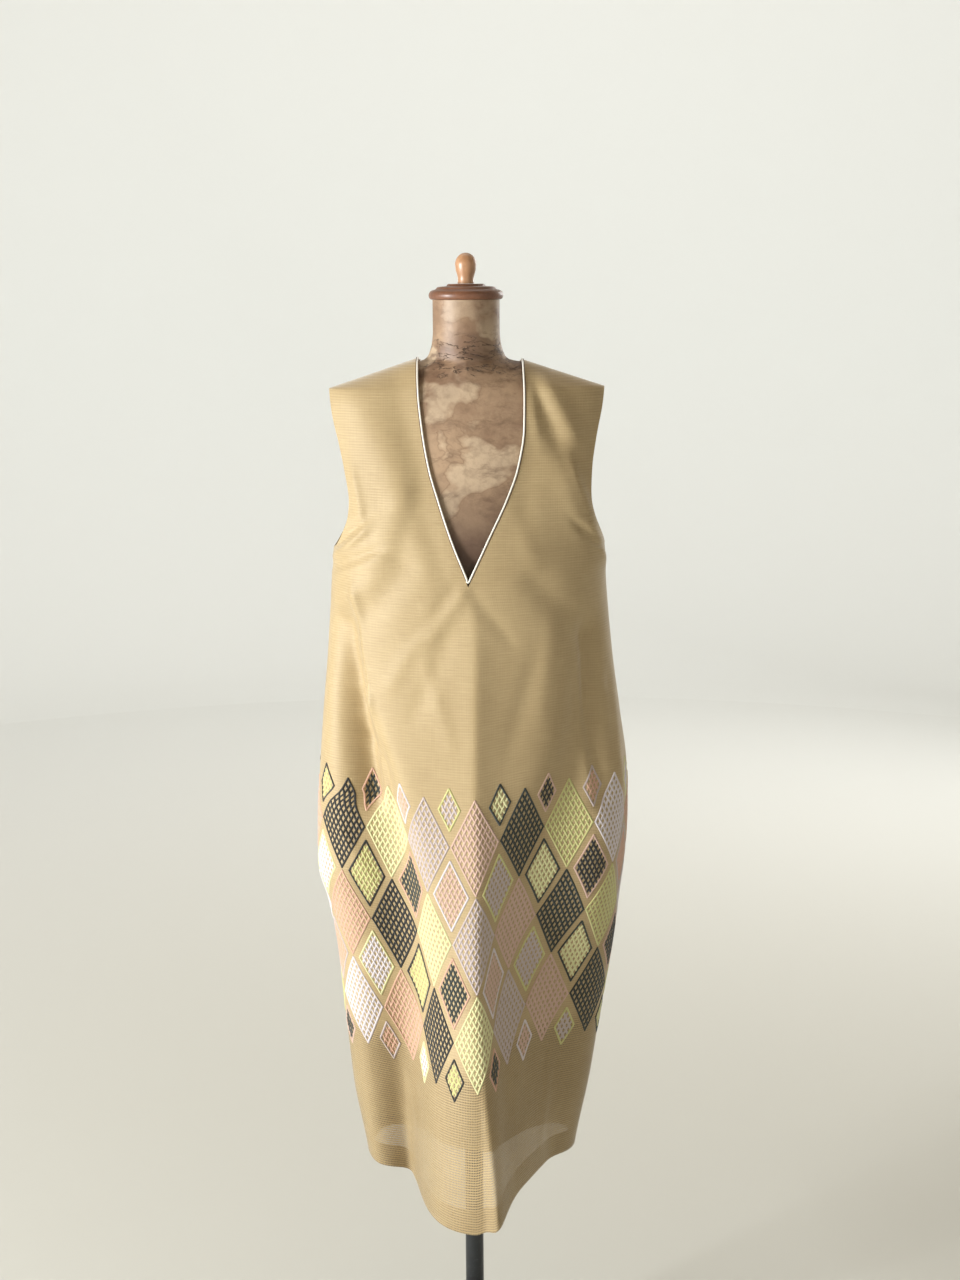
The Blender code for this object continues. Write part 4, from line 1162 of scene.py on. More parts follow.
def weave_effect() -> bpy.types.NodeTree:
    """Woven cloth with fine ribs across: its tone, its height and how much its threads cover."""
    sockets = tuple((name, "NodeSocketFloat") for name in ("Tone", "Height", "Cover"))
    tree, entry, end = new_group("weave", sockets)
    place = entry.outputs["Place"]
    axes = tree.add("ShaderNodeSeparateXYZ", {0: place}).outputs
    sway = tree.math("MULTIPLY", tree.noise(place, SWAY), SWAY_REACH)
    ribs = tree.wave(tree.math("ADD", axes[1], sway), RIB_PITCH)
    threads = tree.wave(tree.math("ADD", axes[0], sway), WARP_PITCH)
    slubs = tree.noise(place, SLUBS)
    ends = tree.noise(place, WARP_SLUBS)
    cloud = tree.noise(place, CLOTH_CLOUDS)
    tone = tree.total(*zip((ribs, threads, slubs, ends, cloud), TONE_SHARES), start=TONE_START)
    height = tree.total(*zip((ribs, threads, slubs), WEAVE_HEIGHTS))
    weft = tree.step(tree.total((slubs, SLUB_SHARE), (ribs, 1.0)), *WEFT_ENDS)
    warp = tree.step(tree.total((ends, SLUB_SHARE), (threads, 1.0)), *WARP_ENDS)
    tree.set(end.inputs["Tone"], tree.math("SUBTRACT", tone, TONE_DROP, clamp=True))
    tree.set(end.inputs["Height"], height)
    tree.set(end.inputs["Cover"], tree.math("MAXIMUM", weft, warp))
    return tree.tree


def stain_and_shade_effect() -> bpy.types.NodeTree:
    """Old discoloured paper shell with painted shade at the upper neck and from the bust down: its
    colour and its height.
    """
    sockets = (("Color", "NodeSocketColor"), ("Height", "NodeSocketFloat"))
    tree, entry, end = new_group("stains_and_shade", sockets)
    place = entry.outputs["Place"]
    shift = tree.stretched(tree.noise(place, BENDING, "Color"), BEND_REACH)
    bent = tree.add("ShaderNodeVectorMath", {0: place, 1: shift}, operation="ADD").outputs[0]
    high = tree.add("ShaderNodeSeparateXYZ", {0: place}).outputs[2]
    broad, patches = tree.noise(bent, BROAD), tree.noise(bent, PATCHES)
    fine, smears = tree.noise(place, SPECKLE), tree.noise(bent, SMEARS)
    colour = tree.mix(tree.step(broad, *SKIN_ENDS), SKIN_DARK, SKIN_LIGHT)
    colour = tree.stained_or_shaded(colour, tree.step(patches, *CREAM.ends), CREAM)
    rim = tree.math("MULTIPLY", tree.near(patches, RIM_AT, RIM_WIDE), tree.step(broad, *RIM.ends))
    colour = tree.stained_or_shaded(colour, rim, RIM)
    colour = tree.stained_or_shaded(colour, tree.step(smears, *SMEAR.ends), SMEAR)
    colour = tree.stained_or_shaded(colour, tree.step(fine, *SPECKS.ends), SPECKS)
    at_base = tree.band(high, SOIL_RISE, SOIL_FALL)
    soil = tree.math("MULTIPLY", at_base, tree.step(smears, *SOIL.ends))
    colour = tree.stained_or_shaded(colour, soil, SOIL)
    # Painted shade over the shell's colour: darker towards the cap at the upper neck, and from the
    # bust down where the cloth shades the form in the v neck
    for shade in (NECK_TOP_SHADE, DEEP_SHADE):
        colour = tree.stained_or_shaded(colour, tree.step(high, *shade.ends), shade)
    thin = tree.near(tree.noise(bent, CRACKS), 0.5, CRACK.ends)
    crack = tree.math("MULTIPLY", thin, tree.band(high, CRACK_RISE, CRACK_FALL))
    tree.set(end.inputs["Color"], tree.stained_or_shaded(colour, crack, CRACK))
    height = tree.total(*zip((broad, fine), SKIN_HEIGHTS), (crack, -CRACK_DEPTH))
    tree.set(end.inputs["Height"], height)
    return tree.tree


def grain_effect() -> bpy.types.NodeTree:
    """Fine long grain of turned wood, as a value."""
    tree, entry, end = new_group("grain", (("Grain", "NodeSocketFloat"),))
    place = entry.outputs["Place"]
    rings, pores = tree.noise(place, WOOD_RINGS), tree.noise(place, WOOD_PORES)
    tree.set(end.inputs["Grain"], tree.total(*zip((rings, pores), GRAIN_SHARES)))
    return tree.tree


def wear_effect() -> bpy.types.NodeTree:
    """Cloudy wear of old paint, as a value."""
    tree, entry, end = new_group("wear", (("Wear", "NodeSocketFloat"),))
    place = entry.outputs["Place"]
    cloud = tree.noise(place, PAINT_CLOUDS)
    specks = tree.step(tree.noise(place, PAINT_SPECKS), *SPECK_ENDS)
    tree.set(end.inputs["Wear"], tree.total(*zip((cloud, specks), WEAR_SHARES)))
    return tree.tree


@dataclass(frozen=True)
class Finish:
    """Look of one material."""

    name: str
    dark: Colour
    light: Colour
    roughness: float
    effect: str
    value: str
    bump: float = 0.0
    metallic: float = 0.0
    sheen: float = 0.0
    coat: float = 0.0


CLOTH = Finish(
    "dress_cloth", linear(138, 113, 72), linear(197, 174, 132), 0.60, "weave", "Tone",
    bump=0.00028, sheen=0.4,
)
LINING = Finish(
    "lining_cloth", linear(168, 144, 102), linear(196, 172, 128), 0.7, "weave", "Tone", sheen=0.1
)
PIPING = Finish(
    "piping_satin", linear(236, 230, 216), linear(252, 249, 242), 0.34, "wear", "Wear", sheen=0.3
)
# Dark brown of the line in the gap between the piping and the cloth's edge: a painted shadow
PIPING_SHADOW = Finish("piping_painted_shadow", linear(74, 50, 32), linear(108, 78, 52), 0.8, "wear", "Wear")
CAP_WOOD = Finish(
    "cap_wood", linear(66, 38, 26), linear(142, 94, 66), 0.44, "grain", "Grain",
    bump=0.00008, coat=0.2,
)
KNOB_WOOD = Finish(
    "knob_wood", linear(142, 92, 58), linear(206, 160, 120), 0.40, "grain", "Grain",
    bump=0.00006, coat=0.3,
)
POLE_STEEL = Finish(
    "pole_steel", linear(52, 54, 56), linear(96, 98, 100), 0.42, "wear", "Wear", metallic=0.85
)
STAND_IRON = Finish(
    "stand_iron", linear(38, 39, 41), linear(84, 85, 86), 0.50, "wear", "Wear",
    bump=0.00006, metallic=0.55,
)

# Roughness of a sheen and of a varnish, gloss of the dress cloth and how open its sheer zone is
SHEEN_ROUGHNESS = 0.4
COAT_ROUGHNESS = 0.25
CLOTH_GLOSS = 0.55
OPEN_SHARE = 0.76

# Roughness and bump of the form's shell, and of the thread with its strands
SKIN_ROUGHNESS = 0.52
SKIN_BUMP = 0.0016
THREAD_ROUGHNESS = 0.42
THREAD_BUMP = 0.00018
THREAD_SHEEN = 0.2
STRAND_PITCH = 0.0007
STRAND_LIGHT = 0.26
STRAND_DARK = 0.80


class Paint:
    """Makes the materials, with one shared group for each effect."""

    def __init__(self) -> None:
        """Makes the groups."""
        self.groups = {
            "weave": weave_effect(),
            "stains_and_shade": stain_and_shade_effect(),
            "grain": grain_effect(),
            "wear": wear_effect(),
        }

    @staticmethod
    def start(name: str, roughness: float, uv: str | None) -> tuple:
        """Starts a material.

        Args:
            name: Its name.
            roughness: Its roughness.
            uv: Name of the UV map that its pattern is laid on, or None for the object's own axes.

        Returns:
            The material, its tree, its shader node and the socket of the place.
        """
        material = bpy.data.materials.new(name)
        material.use_nodes = True
        tree = Tree(material.node_tree)
        shader = material.node_tree.nodes["Principled BSDF"]
        shader.inputs["Roughness"].default_value = roughness
        if uv is None:
            place = tree.add("ShaderNodeTexCoord").outputs["Object"]
        else:
            place = tree.add("ShaderNodeUVMap", uv_map=uv).outputs["UV"]
        return material, tree, shader, place

    def effect(self, tree: Tree, name: str, place) -> bpy.types.Node:
        """Adds a shared effect to a material."""
        node = tree.add("ShaderNodeGroup", node_tree=self.groups[name])
        tree.set(node.inputs["Place"], place)
        return node

    @staticmethod
    def bump(tree: Tree, shader: bpy.types.Node, height, distance: float) -> None:
        """Gives a material a bump from a height."""
        inputs = {"Height": height, "Distance": distance, "Strength": 1.0}
        tree.set(shader.inputs["Normal"], tree.add("ShaderNodeBump", inputs).outputs["Normal"])

    def plain(self, finish: Finish, uv: str | None = None) -> bpy.types.Material:
        """Makes the material of a finish.

        Args:
            finish: The finish.
            uv: Name of the UV map that its pattern is laid on, if any.

        Returns:
            The material.
        """
        material, tree, shader, place = self.start(finish.name, finish.roughness, uv)
        effect = self.effect(tree, finish.effect, place)
        value = effect.outputs[finish.value]
        tree.set(shader.inputs["Base Color"], tree.mix(value, finish.dark, finish.light))
        shader.inputs["Metallic"].default_value = finish.metallic
        shader.inputs["Sheen Weight"].default_value = finish.sheen
        shader.inputs["Sheen Roughness"].default_value = SHEEN_ROUGHNESS
        shader.inputs["Coat Weight"].default_value = finish.coat
        shader.inputs["Coat Roughness"].default_value = COAT_ROUGHNESS
        if finish.bump:
            height = effect.outputs["Height"] if "Height" in effect.outputs else value
            self.bump(tree, shader, height, finish.bump)
        return material

    def cloth(self) -> bpy.types.Material:
        """Dress cloth, sheer where the shell says so."""
        material = self.plain(CLOTH, "cloth")
        tree = Tree(material.node_tree)
        effect = next(n for n in material.node_tree.nodes if n.bl_idname == "ShaderNodeGroup")
        sheer = tree.add("ShaderNodeAttribute", attribute_name="sheer").outputs["Fac"]
        gaps = tree.math("SUBTRACT", 1.0, effect.outputs["Cover"])
        open_share = tree.math("MULTIPLY", tree.math("MULTIPLY", sheer, gaps), OPEN_SHARE)
        shader = material.node_tree.nodes["Principled BSDF"]
        shader.inputs["Specular IOR Level"].default_value = CLOTH_GLOSS
        tree.set(shader.inputs["Alpha"], tree.math("SUBTRACT", 1.0, open_share))
        return material

    def skin(self) -> bpy.types.Material:
        """Stained paper shell of the form, with painted shade at the upper neck and from the bust
        down.
        """
        material, tree, shader, place = self.start("form_skin", SKIN_ROUGHNESS, None)
        effect = self.effect(tree, "stains_and_shade", place)
        tree.set(shader.inputs["Base Color"], effect.outputs["Color"])
        self.bump(tree, shader, effect.outputs["Height"], SKIN_BUMP)
        return material

    def thread(self) -> bpy.types.Material:
        """Satin thread in the colour that each motif carries."""
        material, tree, shader, place = self.start("thread", THREAD_ROUGHNESS, "strand")
        colour = tree.add("ShaderNodeAttribute", attribute_name="thread").outputs["Color"]
        axes = tree.add("ShaderNodeSeparateXYZ", {0: place}).outputs
        strands = tree.wave(axes[0], STRAND_PITCH)
        shade = tree.math("MULTIPLY_ADD", strands, STRAND_LIGHT, STRAND_DARK)
        dull = tree.add("ShaderNodeCombineColor", {0: shade, 1: shade, 2: shade}).outputs[0]
        tree.set(shader.inputs["Base Color"], tree.mix(1.0, colour, dull, "MULTIPLY"))
        shader.inputs["Sheen Weight"].default_value = THREAD_SHEEN
        self.bump(tree, shader, strands, THREAD_BUMP)
        return material


# Colours of the embroidery, in the order that they follow one another along a row
THREADS = (
    linear(212, 178, 160),
    linear(224, 214, 216),
    linear(226, 222, 166),
    linear(36, 44, 38),
    linear(216, 172, 146),
    linear(200, 184, 180),
    linear(210, 206, 138),
    linear(28, 27, 24),
)


# How far the colours move on from column to column and from row to row, of large and small motifs
COLOUR_STEPS = (3, 5)
SMALL_COLOUR_STEPS = (5, 3)
SMALL_COLOUR_START = 2
BACK_COLOUR_SHIFT = 4

# Section of a satin bar in shares of its width and height, and how deep it may lie
BAR_SECTION = ((-0.5, -0.22), (-0.40, 0.48), (0.0, 1.0), (0.40, 0.48), (0.5, -0.22))
BAR_FLOOR = -0.0002

# How far borders reach past a corner, the least steps of a bar that are sewn and of its last one
BORDER_REACH = 1.035
SHORTEST_RUN = 0.6
SHORTEST_STEP = 0.15


@dataclass(frozen=True)
class Motif:
    """One embroidered lozenge on the cloth: its middle, its half axes, its bars and its colours."""

    across: float
    depth: float
    half_width: float
    half_height: float
    bars: int
    colour: int

    def at(self, u: np.ndarray, v: np.ndarray) -> tuple[np.ndarray, np.ndarray]:
        """Place on the cloth of a point given by its shares along the two pairs of sides."""
        across = self.across + (u + v) * 0.5 * self.half_width
        return across, self.depth + (u - v) * 0.5 * self.half_height


@dataclass
class Stitching:
    """Embroidery of one panel: a trellis of lozenges with small ones between them."""

    patch: Patch
    row_pitch: float = 0.142
    column_pitch: float = 0.0765
    first_depth: float = 0.361
    half_width: float = 0.0360
    half_height: float = 0.0680
    rows: int = 3
    bar_width: float = 0.0035
    bar_height: float = 0.0008
    border_width: float = 0.0034
    border_height: float = 0.0012
    weave_lift: float = 0.00035
    seam_clear: float = 0.0022
    reach: int = 4
    bars: int = 9
    small_bars: int = 7
    small_scale: float = 0.74
    end_bars: int = 4
    end_scale: float = 0.44
    end_shift: float = 0.017

    def motifs(self, shift: int) -> list[Motif]:
        """Places the lozenges.

        Args:
            shift: Moves the colours along.

        Returns:
            All of them, also those that the seams cut.
        """
        found = []
        reach = range(-self.reach, self.reach + 1)
        by_column, by_row = COLOUR_STEPS
        for row in range(self.rows):
            depth = self.first_depth + row * self.row_pitch
            for column in reach:
                colour = (column * by_column + row * by_row + shift) % len(THREADS)
                across = column * self.column_pitch
                found.append(
                    Motif(across, depth, self.half_width, self.half_height, self.bars, colour)
                )
        by_column, by_row = SMALL_COLOUR_STEPS
        for row in range(self.rows + 1):
            depth = self.first_depth + (row - 0.5) * self.row_pitch
            inner = 0 < row < self.rows
            scale = self.small_scale if inner else self.end_scale
            bars = self.small_bars if inner else self.end_bars
            if not inner:
                depth += self.end_shift if row == 0 else -self.end_shift
            wide, high = self.half_width * scale, self.half_height * scale
            for column in reach:
                colour = column * by_column + row * by_row + shift + SMALL_COLOUR_START
                across = (column + 0.5) * self.column_pitch
                found.append(Motif(across, depth, wide, high, bars, colour % len(THREADS)))
        return found

    def limits(self, depth: float) -> tuple[float, float]:
        """Places across the cloth between which it is sewn at a depth."""
        low, high = self.patch.limits(np.array([depth]))
        return float(low[0]) + self.seam_clear, float(high[0]) - self.seam_clear

    def lines(self, motif: Motif) -> list[tuple[np.ndarray, np.ndarray, np.ndarray, bool]]:
        """Lines of a motif's bars and borders.

        Args:
            motif: The lozenge.

        Returns:
            For each line its shares u and v, the lift of each point and whether it is a border.
        """
        inner = np.linspace(-1.0, 1.0, motif.bars + 1)[1:-1]
        steps = np.linspace(-1.0, 1.0, 2 * motif.bars + 1)
        crossing = np.zeros(len(steps))
        crossing[2:-2:2] = self.weave_lift * np.where(np.arange(motif.bars - 1) % 2 == 0, 1.0, -1.0)
        found = []
        for i, at in enumerate(inner):
            sign = 1.0 if i % 2 == 0 else -1.0
            same = np.full(len(steps), at)
            found.append((steps, same, sign * crossing, False))
            found.append((same, steps, -sign * crossing, False))
        ends = np.linspace(-BORDER_REACH, BORDER_REACH, motif.bars + 1)
        flat = np.zeros(len(ends))
        for at in (-1.0, 1.0):
            same = np.full(len(ends), at)
            found.append((ends, same, flat, True))
            found.append((same, ends, flat, True))
        return found

    def cut(self, across: np.ndarray, depth: np.ndarray, lift: np.ndarray) -> np.ndarray | None:
        """Shortens a line at the seams.

        Args:
            across: Places of its points across the cloth.
            depth: Their depths.
            lift: Their lifts.

        Returns:
            Rows of the three values for what is left, or None.
        """
        low, high = self.limits(float(depth.mean()))
        if across.min() >= low and across.max() <= high:
            return np.stack((across, depth, lift))
        ahead = across[-1] > across[0]
        along = np.arange(len(across), dtype=float)
        order = along if ahead else along[::-1]
        rising = across if ahead else across[::-1]
        if rising[-1] <= low or rising[0] >= high:
            return None
        ends = np.interp((max(low, rising[0]), min(high, rising[-1])), rising, order)
        first, last = min(ends), max(ends)
        if last - first < SHORTEST_RUN:
            return None
        kept = along[(along > first + SHORTEST_STEP) & (along < last - SHORTEST_STEP)]
        wanted = np.concatenate(((first,), kept, (last,)))
        return np.stack([np.interp(wanted, along, values) for values in (across, depth, lift)])

    def build(self, name: str, shift: int) -> bpy.types.Object:
        """Sews the panel's embroidery.

        Args:
            name: Name of the piece.
            shift: Moves the colours along.

        Returns:
            The object.
        """
        section = np.array(BAR_SECTION)
        places, faces, uvs, colours = [], [], [], []
        count = 0
        for motif in self.motifs(shift):
            for u, v, lift, border in self.lines(motif):
                line = self.cut(*motif.at(u, v), lift)
                if line is None:
                    continue
                bar, strand = self.bar(line, section, border)
                rows, sides = bar.shape[:2]
                places.append(bar.reshape(-1, 3))
                uvs.append(strand.reshape(-1, 2))
                faces.append(grid_faces(rows, sides, count, self.patch.outward < 0.0))
                next_one = border and motif.bars < self.bars
                shade = THREADS[(motif.colour + next_one) % len(THREADS)]
                colours.append(np.tile(shade, (rows * sides, 1)))
                count += rows * sides
        points = self.patch.place(*np.concatenate(places).T)
        mesh = sewn_mesh(name, points, np.concatenate(faces), np.concatenate(uvs), "strand")
        tint = mesh.color_attributes.new("thread", "FLOAT_COLOR", "POINT")
        tint.data.foreach_set("color", np.concatenate(colours).ravel().astype(np.float32))
        return add_object(name, mesh)

    def bar(
        self, line: np.ndarray, section: np.ndarray, border: bool
    ) -> tuple[np.ndarray, np.ndarray]:
        """One raised bar along a line.

        Args:
            line: Rows of its points' places across, depths and lifts.
            section: The bar's section.
            border: True for a border.

        Returns:
            For each point of the bar its place, depth and lift, and its place on the UV map.
        """
        width = self.border_width if border else self.bar_width
        height = self.border_height if border else self.bar_height
        along = np.array((line[0, -1] - line[0, 0], line[1, -1] - line[1, 0]))
        along /= np.linalg.norm(along)
        side = section[:, 0] * width
        across = line[0][:, None] - along[1] * side
        depth = line[1][:, None] + along[0] * side
        tall = np.maximum(line[2][:, None] + section[:, 1] * height, BAR_FLOOR)
        steps = np.hypot(np.diff(line[0]), np.diff(line[1]))
        run = np.concatenate(((0.0,), np.cumsum(steps)))[:, None]
        strand = np.stack(np.broadcast_arrays(run, side), -1)
        return np.stack((across, depth, tall), axis=-1), strand


def tube(name: str, path: np.ndarray, radius: float, closed: bool) -> bpy.types.Object:
    """Round tube along a path, made as a mesh.

    Args:
        name: Name of the piece.
        path: Points of its middle line.
        radius: Radius of the tube.
        closed: True if the path comes back to its start.

    Returns:
        The object.
    """
    curve = bpy.data.curves.new(name, "CURVE")
    curve.dimensions = "3D"
    curve.bevel_depth = radius
    curve.bevel_resolution = TUBE_RESOLUTION
    spline = curve.splines.new("POLY")
    spline.points.add(len(path) - 1)
    for point, place in zip(spline.points, path):
        point.co = (*place, 1.0)
    spline.use_cyclic_u = closed
    pick(add_object(name, curve))
    bpy.ops.object.convert(target="MESH")
    return bpy.context.object


# Radius of the dark line in the gap beside the piping, a painted shadow
SHADOW_LINE_RADIUS = 0.0006


@dataclass(frozen=True)
class PipingSize:
    """Sizes of the neck piping and its place off the neck's edge."""

    radius: float = 0.0013
    gap: float = 0.0012
    tip_rise: float = 0.0064
    tip_half: float = 0.0014
    tip_lift: float = 0.0012
    crest: float = 0.0010
    short: float = 0.0012

    @property
    def off(self) -> float:
        """Distance of its middle line from the neck's edge."""
        return self.radius + self.gap


class Dress:
    """The dress: its two panels, the lining, the neck piping and the embroidery."""

    def __init__(self, drape: Drape, paint: Paint) -> None:
        """Lays out the panels.

        Args:
            drape: The surface that the cloth hangs in.
            paint: The materials.
        """
        self.drape = drape
        self.cloth = paint.cloth()
        self.paint = paint
        cutter = Cutter(drape)
        self.left = cutter.front_half(False)
        self.right = cutter.front_half(True)
        self.back = cutter.back()
        self.front_skirt = cutter.skirt(Side.FRONT)
        self.back_skirt = cutter.skirt(Side.BACK)

    @staticmethod
    def beside(edge: np.ndarray, inner: np.ndarray, size: PipingSize) -> np.ndarray:
        """Points just off an edge, in line with the cloth."""
        out = edge - inner
        out = out / np.linalg.norm(out, axis=1, keepdims=True)
        return edge + out * size.off

    def piping_path(self, size: PipingSize) -> np.ndarray:
        """Middle line of the neck piping, once round the neck."""
        rows = slice(2, self.left.skirt_row - 1)
        left, right, back = self.left.points, self.right.points, self.back.points
        down = self.beside(left[rows, -1], left[rows, -3], size)
        up = self.beside(right[rows, 0], right[rows, 2], size)[::-1]
        tip = self.drape.point(Side.FRONT, 0.0, V_POINT_Z + size.tip_rise)
        across = np.array((size.tip_half, 0.0, 0.0))
        lift = np.array((0.0, 0.0, size.tip_lift))
        tips = np.array((tip + lift - across, tip, tip + lift + across))
        corners = [float(self.drape.v_edge[name](NECK_TOP_Z)) for name in ("left", "right")]
        x = back[0, :, 0]
        inside = (x > size.short - corners[0]) & (x < corners[1] - size.short)
        behind = self.beside(back[0, inside], back[2, inside], size)[::-1]
        crests = []
        for corner, side in zip(corners, (-1.0, 1.0)):
            x = corner - size.off
            crests.append((side * x, 0.0, float(shoulder_z(np.array(corner))) + size.crest))
        return np.concatenate((crests[:1], down, tips, up, crests[1:], behind))

    def build(self) -> None:
        """Makes all pieces of the dress."""
        left, right, back = self.left, self.right, self.back
        layers = [Layer(p.points, p.across(), p.depths) for p in (left, right)]
        layers += [hem_turn_up(left), hem_turn_up(right)]
        layers += [seam_allowance(left, True), seam_allowance(right, False)]
        front = shell_object("dress_front_cloth", layers, False)
        layers = [Layer(back.points, back.across(), back.depths), hem_turn_up(back)]
        layers += [seam_allowance(back, True), seam_allowance(back, False)]
        behind = shell_object("dress_back_cloth", layers, True)
        for obj, node in ((front, "dress_front"), (behind, "dress_back")):
            put_down(obj, self.cloth, SOFT_ANGLE)
            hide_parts(node)
        self.trim()
        self.declare(front, behind, self.embroidery())

    def trim(self) -> None:
        """Makes the neck piping with a dark line in the gap beside it, a painted shadow, and gives
        the lining its material.
        """
        size = PipingSize()
        piping = tube("neck_piping_cord", self.piping_path(size), size.radius, True)
        put_down(piping, self.paint.plain(PIPING), SOFT_ANGLE)
        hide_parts("neck_piping")
        # A dark tube in the gap between the cloth's edge and the piping: a painted shadow
        line = PipingSize(radius=SHADOW_LINE_RADIUS, gap=0.0)
        seam = tube("neck_painted_shadow", self.piping_path(line), line.radius, True)
        put_down(seam, self.paint.plain(PIPING_SHADOW), SOFT_ANGLE)
        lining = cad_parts["lining"].data.materials
        lining.clear()
        lining.append(self.paint.plain(LINING))

    def embroidery(self) -> list[bpy.types.Object]:
        """Sews both panels' embroidery, with the colours moved along on the back."""
        thread = self.paint.thread()
        panels = ((self.front_skirt, "front", 0), (self.back_skirt, "back", BACK_COLOUR_SHIFT))
        sewn = []
        for patch, name, shift in panels:
            obj = Stitching(patch).build(f"embroidery_{name}", shift)
            put_down(obj, thread, SOFT_ANGLE)
            sewn.append(obj)
        return sewn

    @staticmethod
    def declare(
        front: bpy.types.Object, back: bpy.types.Object, sewn: list[bpy.types.Object]
    ) -> None:
        """Takes the panels and the embroidery and does nothing with them."""


# Levels of the form from the neck down, as far as the cloth leaves them free
FORM_COLUMNS = ("z", "half", "front", "back", "square")
FORM_NECK = (
    (1.6997, 0.0478, 0.0478, 0.0478, 2.00),
    (1.6560, 0.0478, 0.0478, 0.0478, 2.00),
    (1.6380, 0.0496, 0.0484, 0.0484, 1.95),
    (1.6290, 0.0520, 0.0490, 0.0490, 1.85),
    (1.6215, 0.0552, 0.0498, 0.0498, 1.65),
    (1.6160, 0.0612, 0.0508, 0.0505, 1.50),
)
FORM_BODY = (
    (1.555, 0.184, 0.0680, 0.0745, 1.80),
    (1.520, 0.176, 0.0762, 0.0850, 2.00),
    (1.470, 0.169, 0.0870, 0.0920, 2.15),
    (1.414, 0.164, 0.1000, 0.0930, 2.20),
    (1.360, 0.164, 0.1080, 0.0890, 2.20),
    (1.300, 0.157, 0.1020, 0.0810, 2.20),
    (1.230, 0.140, 0.0850, 0.0690, 2.15),
    (1.170, 0.135, 0.0780, 0.0640, 2.10),
    (1.110, 0.140, 0.0780, 0.0690, 2.10),
    (1.050, 0.145, 0.0780, 0.0760, 2.15),
    (0.990, 0.145, 0.0770, 0.0760, 2.15),
    (0.970, 0.142, 0.0750, 0.0740, 2.15),
)
SHOULDER_LEVELS = (1.6100, 1.6050, 1.5990, 1.5900, 1.5800, 1.5720)


@dataclass
class Form:
    """The limbless form: one smooth body from its neck to its open hip line."""

    drape: Drape
    sides: int = 96
    levels: int = 84
    start_radius: float = 0.1
    drop: float = 0.0021
    inset: float = 0.0021
    shoulder_half: float = 0.1960
    shoulder_slope: float = 0.9

    def shoulder_row(self, z: float) -> tuple[float, float, float, float, float]:
        """Row of the form's table on the shoulders, just inside the cloth."""
        lifted, body = z + self.drop, self.drape.body
        half = NECK_POINT_X + (NECK_POINT_Z - lifted) / SHOULDER_FALL
        slope = self.shoulder_half - self.shoulder_slope * max(SHOULDER_TIP_Z - z, 0.0)
        front, back = (float(body[name](lifted)) - self.inset for name in ("front", "back"))
        return z, min(half, slope), front, back, float(body["square"](lifted))

    def build(self, paint: Paint) -> None:
        """Makes the form's shell.

        Args:
            paint: The materials.
        """
        table = FORM_NECK + tuple(self.shoulder_row(z) for z in SHOULDER_LEVELS) + FORM_BODY
        curves = read_table(table, FORM_COLUMNS)
        heights = np.array([row[0] for row in table])
        rows = np.arange(len(heights))
        dense = np.interp(np.linspace(0, rows[-1], self.levels), rows, heights)
        obj = drawn_out("form_shell", [(self.start_radius, z) for z in dense], self.sides)
        count = len(obj.data.vertices)
        points = np.empty(count * 3)
        obj.data.vertices.foreach_get("co", points)
        points = points.reshape(-1, 3)
        angle = np.arctan2(points[:, 1], points[:, 0])
        z = points[:, 2]
        power = 2.0 / curves["square"](z)
        depth = np.where(angle < 0.0, curves["front"](z), curves["back"](z))
        cos, sin = np.cos(angle), np.sin(angle)
        points[:, 0] = curves["half"](z) * np.sign(cos) * np.abs(cos) ** power
        points[:, 1] = depth * np.sign(sin) * np.abs(sin) ** power
        obj.data.vertices.foreach_set("co", points.ravel())
        in_edit_mode(obj, close_ends, bpy.ops.mesh.normals_make_consistent)
        put_down(obj, paint.skin(), FORM_ANGLE)
        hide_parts("form_torso")


def drawn_out(name: str, rings: list[tuple[float, float]], sides: int) -> bpy.types.Object:
    """Open skin drawn out of a circle ring by ring.

    Args:
        name: Name of the piece.
        rings: Radius and height of each ring.
        sides: Points round a ring.

    Returns:
        The object.
    """
    radius, low = rings[0]
    deselect()
    bpy.ops.mesh.primitive_circle_add(vertices=sides, radius=radius, location=(0, 0, low))
    obj = bpy.context.object
    obj.name = name
    bpy.ops.object.transform_apply(location=True)
    bpy.ops.object.mode_set(mode="EDIT")
    bpy.ops.mesh.select_all(action="SELECT")
    for (before, from_z), (after, to_z) in zip(rings[:-1], rings[1:]):
        move = {"value": (0.0, 0.0, to_z - from_z)}
        bpy.ops.mesh.extrude_region_move(TRANSFORM_OT_translate=move)
        if after != before:
            share = (after / before, after / before, 1.0)
            bpy.ops.transform.resize(value=share, center_override=(0.0, 0.0, to_z))
    bpy.ops.object.mode_set(mode="OBJECT")
    return obj


def turned(
    name: str, profile: list[tuple[float, float]], bevel: float, sides: int = 96
) -> bpy.types.Object:
    """Turned piece with rounded edges.

    Args:
        name: Name of the piece.
        profile: Radius and height of each ring; the first and last are the same on a bored piece.
        bevel: Width of its rounded edges.
        sides: Points round a ring.

    Returns:
        The object.
    """
    obj = drawn_out(name, profile, sides)
    in_edit_mode(obj, merge_doubles, close_ends, bpy.ops.mesh.normals_make_consistent)
    edge = obj.modifiers.new("edges", "BEVEL")
    edge.width = bevel
    edge.segments = BEVEL_SEGMENTS
    edge.angle_limit = math.radians(BEVEL_ANGLE)
    finish_modifiers(obj)
    return obj


# Rings of the turned cap: radius and height over its foot
CAP_RINGS = (
    (0.0492, 0.0),
    (0.0514, 0.0010),
    (0.0528, 0.0034),
    (0.0532, 0.0062),
    (0.0526, 0.0090),
    (0.0510, 0.0114),
    (0.0482, 0.0130),
    (0.0446, 0.0140),
    (0.0426, 0.0150),
    (0.0420, 0.0164),
    (0.0406, 0.0175),
    (0.0340, 0.0184),
    (0.0276, 0.0188),
    (0.0270, 0.0204),
    (0.0255, 0.0218),
)

